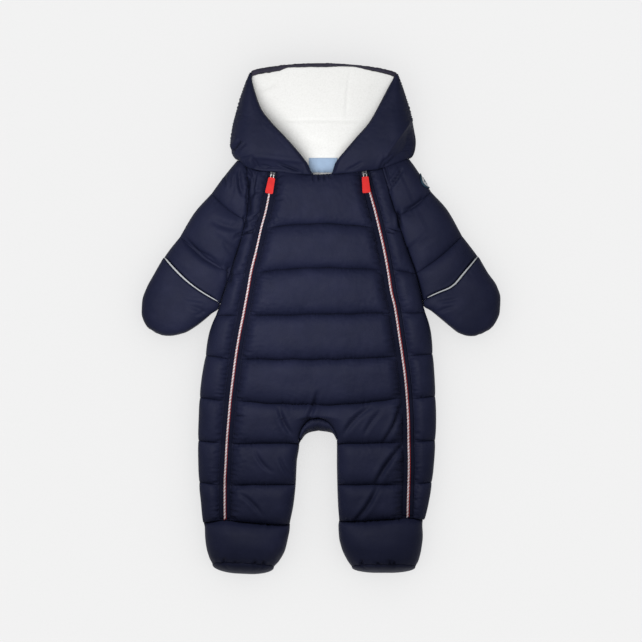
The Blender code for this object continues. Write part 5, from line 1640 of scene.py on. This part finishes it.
class Pile:
    """Many small closed forms joined into one mesh."""

    def __init__(self):
        self.verts = []
        self.faces = []
        self.marks = []

    def add(self, form, mark=0):
        """Adds a form, its vertices and faces, with the number of its material."""
        verts, faces = form
        first = len(self.verts)
        self.verts += verts
        self.faces += [tuple(corner + first for corner in face) for face in faces]
        self.marks += [mark] * len(faces)

    def make(self, name, node, slot, *materials):
        thing = make_object(name, self.verts, self.faces, node, materials)
        thing.data.polygons.foreach_set("material_index", self.marks)


def fine_zip(side):
    """Places along a zip every so often, with the height of the ledge."""
    return [Vector((*zip_place(row, side), PARTING + ledge_rise(row))) for row in fine_rows(None)]


def walk(places, pitch):
    """Places at equal steps along a line of places."""
    out = [places[0].copy()]
    need = pitch
    for a, b in zip(places, places[1:]):
        length = (b - a).length
        done = 0.0
        while length - done >= need:
            done += need
            out.append(a.lerp(b, done / length))
            need = pitch
        need -= length - done
    return out


def make_tape(side, places):
    """The woven tape of a zip, with a raised selvedge and a groove beside the coil."""
    grid = []
    for place in walk(places, TAPE_STEP):
        line = []
        for step in range(TAPE_COLUMNS + 1):
            share = 2 * step / TAPE_COLUMNS - 1
            selvedge = 0.25 * (abs(share) > 0.9) - 0.45 * exp(-((abs(share) - 0.42) / 0.05) ** 2)
            x = place.x + TAPE_WIDTH / 2 * share
            line.append((x, place.y, place.z + TAPE_TOP + selvedge - 0.3, place.z + SEAM_GAP))
        grid.append(line)
    node = side.name + "_zip_tape"
    tape = make_sheet(node + "_weave", grid, node, tape_weave)


def make_coil(side, places):
    """A zip's coil: slanting turns in pale and red, on a navy core, with a red line at one side."""
    base = TAPE_TOP - 0.1
    pile = Pile()
    turns = walk(places[COIL_START_ROW + 2:], COIL_PITCH)
    half = COIL_SHOWN / 2
    for index, (place, after) in enumerate(zip(turns, turns[1:])):
        reach = Vector((half - COIL_THREAD, 0, 0)) - (after - place).normalized() * COIL_SLANT
        middle = place + Vector((0, 0, base + COIL_HEIGHT * 0.35))
        mark = COIL_PATTERN[index % len(COIL_PATTERN)]
        pile.add(capsule(middle - reach, middle + reach, COIL_THREAD), mark)
    core = [place + Vector((0, 0, base + COIL_HEIGHT * 0.2)) for place in turns]
    pile.add(tube(core, 0.45, 6, 2.8), 2)
    size = COIL_EDGE[side.name]
    edge = [place + Vector((half + size * 0.6, 0, 0)) for place in core
            if place.y < COIL_EDGE_FROM[side.name]]
    pile.add(tube(edge, size, 6), 3)
    pile.make(side.name + "_zip_coil_turns", side.name + "_zip_coil", "coil",
              coil_white, coil_red, coil_navy, coil_edge)


def tree_of(thing):
    mesh = thing.data
    return BVHTree.FromPolygons([v.co for v in mesh.vertices], [p.vertices for p in mesh.polygons])


def surface_under(tree, x, y):
    """Height in mm of the highest point of a mesh at a place, or None beside it."""
    hit = tree.ray_cast(Vector((x * MM, y * MM, PATCH_DROP * MM)), Vector((0, 0, -1)))[0]
    return hit.z / MM if hit else None


def make_stitches(side, trees):
    """Topstitching along both sides of a zip, laid on the cloth."""
    pile = Pile()
    line = walk(fine_zip(side)[2:], STITCH_PITCH / 2)
    for way in (-1, 1):
        tree = trees["front" if way == -side.turn else side.name]
        for a, b in zip(line[::2], line[1::2]):
            ends = []
            for place in (a, b + (b - a) * 0.25):
                x = place.x + way * STITCH_OUT
                z = surface_under(tree, x, place.y)
                if z is not None:
                    ends.append(Vector((x, place.y, z + STITCH_RADIUS * 0.4)))
            if len(ends) == 2:
                pile.add(capsule(*ends, STITCH_RADIUS, 5))
    pile.make(side.name + "_zip_stitches", None, "shell", thread)


def make_piping(side):
    """The pale cord along a mitten's mouth, with the slant of its bias cover."""
    ring = [Vector(outer) for outer, _ in hand_ring(side, 0.0)[:HALF_RING + 1]]
    across = ring[-1] - ring[0]
    forward = Vector((across.y, -across.x, 0)).normalized() * side.turn
    first = PIPING_END[side.name]
    path = []
    for j in range(first, len(ring) - PIPING_START):
        outward = (ring[j + 1] - ring[j - 1]).cross(forward).normalized()
        outward = outward if outward.z > 0 else -outward
        lift = PIPING_LIFT + PIPING_RAISE[side.name] * exp(-((j - first) / 7) ** 2)
        path.append(ring[j] + outward * lift - forward * PIPING_SETBACK)
    line = walk([Vector(place) for place in nudged(path)], PIPING_STEP)

    def lumps(index, k):
        share = index / (len(line) - 1)
        thick = 0.66 + 0.46 * exp(-((share - PIPING_FULLEST[side.name]) / 0.26) ** 2)
        ends = min(1.0, 0.35 + 9 * min(share, 1 - share))
        slant = 1.0 + 0.05 * sin(index * 0.9 + 2 * pi * k / PIPING_SIDES)
        return thick * ends * (slant + 0.06 * noise_at(index / 6.0, SEEDS["piping"]))

    pile = Pile()
    pile.add(tube(line, PIPING_RADIUS, PIPING_SIDES, 1.0, lumps))
    pile.make(side.name + "_mitten_piping_cord", side.name + "_mitten_piping", "piping", piping_weave)


def make_label(lining):
    """The bare woven label at the foot of the lining, its ends turned under."""
    tree = tree_of(lining)
    columns, lines = LABEL_FINE
    grid = []
    for i in range(lines + 1):
        y = LABEL_CENTRE[1] + LABEL_LENGTH * (i / lines - 0.5)
        line = []
        for j in range(columns + 1):
            x = LABEL_CENTRE[0] + LABEL_WIDTH * (j / columns - 0.5)
            edge = min(j, columns - j) / columns * LABEL_WIDTH
            fold = 0.35 * (edge < 2.2) - 0.2 * exp(-((edge - 2.6) / 0.4) ** 2)
            under = surface_under(tree, x, y) + PATCH_GAP
            line.append((x, y, under + LABEL_THICK + fold, under))
        grid.append(line)
    label = make_sheet("neck_label_tape", grid, "neck_label", label_weave)


def badge_relief(u, v):
    """Height of the badge's raised threads: a rim and a six-armed star of plain bars."""
    radius = hypot(u, v)
    rim = smooth_step((radius - BADGE_RIM) / 0.06)
    sector = (np.arctan2(v, u) % (pi / 3)) - pi / 6
    aside = abs(radius * sin(sector))
    bar = exp(-(aside / 0.055) ** 2) if 0.04 < radius < 0.56 and abs(sector) < pi / 6 else 0.0
    reach = radius * cos(sector) - STAR_TWIG - aside * 0.6
    twig = exp(-(reach / 0.045) ** 2) if aside < 0.15 else 0.0
    return max(rim, bar, twig)


def make_badge(sleeve):
    """A round woven patch on the right sleeve with a generic snow star."""
    tree = tree_of(sleeve)
    ring, _ = arm_ring(SIDES["right"], BADGE_ARM_PART)
    body_side = Vector(ring[0][0])
    far_side = Vector(ring[HALF_RING][0])
    centre = body_side.lerp(far_side, BADGE_ACROSS)
    outward = Vector((far_side.x - body_side.x, far_side.y - body_side.y, 0)).normalized()
    toward = -(Vector((0, 0, 1)) * cos(BADGE_TURN) + outward * sin(BADGE_TURN))
    along = outward.cross(Vector((0, 0, 1))).normalized()
    across = toward.cross(along)
    centre.z = PARTING + BADGE_RISE
    steps = [2 * i / PATCH_CELLS - 1 for i in range(PATCH_CELLS + 1)]
    grid = []
    heights = []
    for u in steps:
        line = []
        for v in steps:
            du = u * sqrt(1 - v * v / 2)
            dv = v * sqrt(1 - u * u / 2)
            start = centre - toward * PATCH_DROP + along * (du * BADGE_RADIUS)
            start += across * (dv * BADGE_RADIUS)
            touch = tree.ray_cast(start * MM, toward)[0] / MM
            heights.append(badge_relief(du, dv))
            lift = PATCH_GAP + BADGE_THICK + BADGE_RELIEF * heights[-1]
            line.append((touch - toward * lift, touch - toward * PATCH_GAP))
        grid.append(line)
    badge = make_patch("sleeve_badge_patch", grid, "sleeve_badge", badge_pale)
    badge.data.materials.append(badge_dark)
    for polygon in badge.data.polygons:
        corner = min(polygon.vertices)
        if corner >= len(heights) or heights[corner] > 0.45:
            polygon.material_index = 1


make_halves("front_centre", FORK_PART_FRONT, lambda row, side: panel_row(row, side, True))
for side in SIDES.values():
    make_side_front(side)
make_halves("back_panel", FORK_PART_BACK, back_row)
make_gusset()
for make_piece in (make_sleeve, make_mitten, make_boot, make_hood_side):
    for side in SIDES.values():
        make_piece(side)
make_hood_back()

zip_creases = [*CREASES, *zip_tucks()]
sole_creases = [tuck for side in SIDES.values() for tuck in boot_tucks(side)]
own_creases = {
    "front_centre": zip_creases, "left_side_front": zip_creases, "right_side_front": zip_creases,
    "left_boot": sole_creases, "right_boot": sole_creases, "back_panel": (), "hood_back": ()}
pieces = {cloth.node: finish_cloth(cloth, own_creases.get(cloth.node, CREASES)) for cloth in CLOTHS}
for side in SIDES.values():
    make_sole(side)
make_brim()
lining = make_lining()
make_label(lining)
make_badge(pieces["right_sleeve"])
trees = {"front": tree_of(pieces["front_centre"])}
for name in SIDES:
    trees[name] = tree_of(pieces[name + "_side_front"])
for side in SIDES.values():
    make_tape(side, fine_zip(side))
    make_coil(side, fine_zip(side))
    make_stitches(side, trees)
    make_piping(side)

for name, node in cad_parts.items():
    # Tabs get red rubber and links polished metal; sliders get the darkened metal, which paints in their
    # shade.
    finish = {"tab": rubber, "slider": painted_shade_slider, "link": metal}.get(name.split("_")[-1])
    if finish:
        node.data.materials.clear()
        node.data.materials.append(finish)
        bevel = node.modifiers.new("softened", "BEVEL")
        bevel.width = 0.45 * MM
        bevel.segments = 3
        bevel.limit_method = "ANGLE"
        bevel.angle_limit = radians(40.0)


def make_floor():
    mesh = bpy.data.meshes.new("floor")
    mesh.from_pydata([(x, y, 0.0) for x, y in ((-4, -4), (4, -4), (4, 4), (-4, 4))], [], [(0, 1, 2, 3)])
    paint = Paint("pale_paper")
    paint.set(
        Base_Color=paint.tones(paint.clouds(300.0, 3.0), (0.3, (FLOOR_TONE * 0.995,) * 3),
                               (0.7, (FLOOR_TONE * 1.005,) * 3)),
        Roughness=0.9, Specular_IOR_Level=0.1)
    mesh.materials.append(paint.material)
    floor = link(bpy.data.objects.new("floor", mesh))
    return floor


def add_lamp(name, kind, power, lit_name, lit):
    """A lamp that lights only the things it is given."""
    lamp = bpy.data.lights.new(name, kind)
    lamp.energy = power
    thing = bpy.data.objects.new(name, lamp)
    group = bpy.data.collections.new(lit_name)
    for each in lit:
        group.objects.link(each)
    thing.light_linking.receiver_collection = group
    return link(thing)


# The key is a wide soft lamp at the upper left, which falls off towards the feet and lights the
# suit alone. The floor has an even light of its own, as in a plain studio cut-out.
dressed = [thing for thing in bpy.context.scene.objects if thing.type == "MESH"]
key = add_lamp("key", "AREA", KEY_POWER, "lit_by_key", dressed)
key.data.shape = "DISK"
key.data.size = KEY_SIZE
key.location = KEY_PLACE
key.rotation_euler = (Vector(KEY_AIM) - Vector(KEY_PLACE)).to_track_quat("-Z", "Y").to_euler()
add_lamp("floor_light", "SUN", FLOOR_LIGHT, "lit_from_above", [make_floor()])
world = bpy.data.worlds.new("studio")
world.use_nodes = True
background = world.node_tree.nodes["Background"]
background.inputs["Color"].default_value = (1.0, 1.0, 1.0, 1.0)
background.inputs["Strength"].default_value = FILL_STRENGTH
bpy.context.scene.world = world
bpy.context.scene.view_settings.view_transform = "Standard"

lens = bpy.data.cameras.new("camera")
lens.lens = CAMERA_LENS
lens.sensor_width = CAMERA_SENSOR
camera = link(bpy.data.objects.new("camera", lens))
camera.location = (0.0, CAMERA_Y, VIEW_HALF * CAMERA_LENS / (CAMERA_SENSOR / 2))
bpy.context.scene.camera = camera
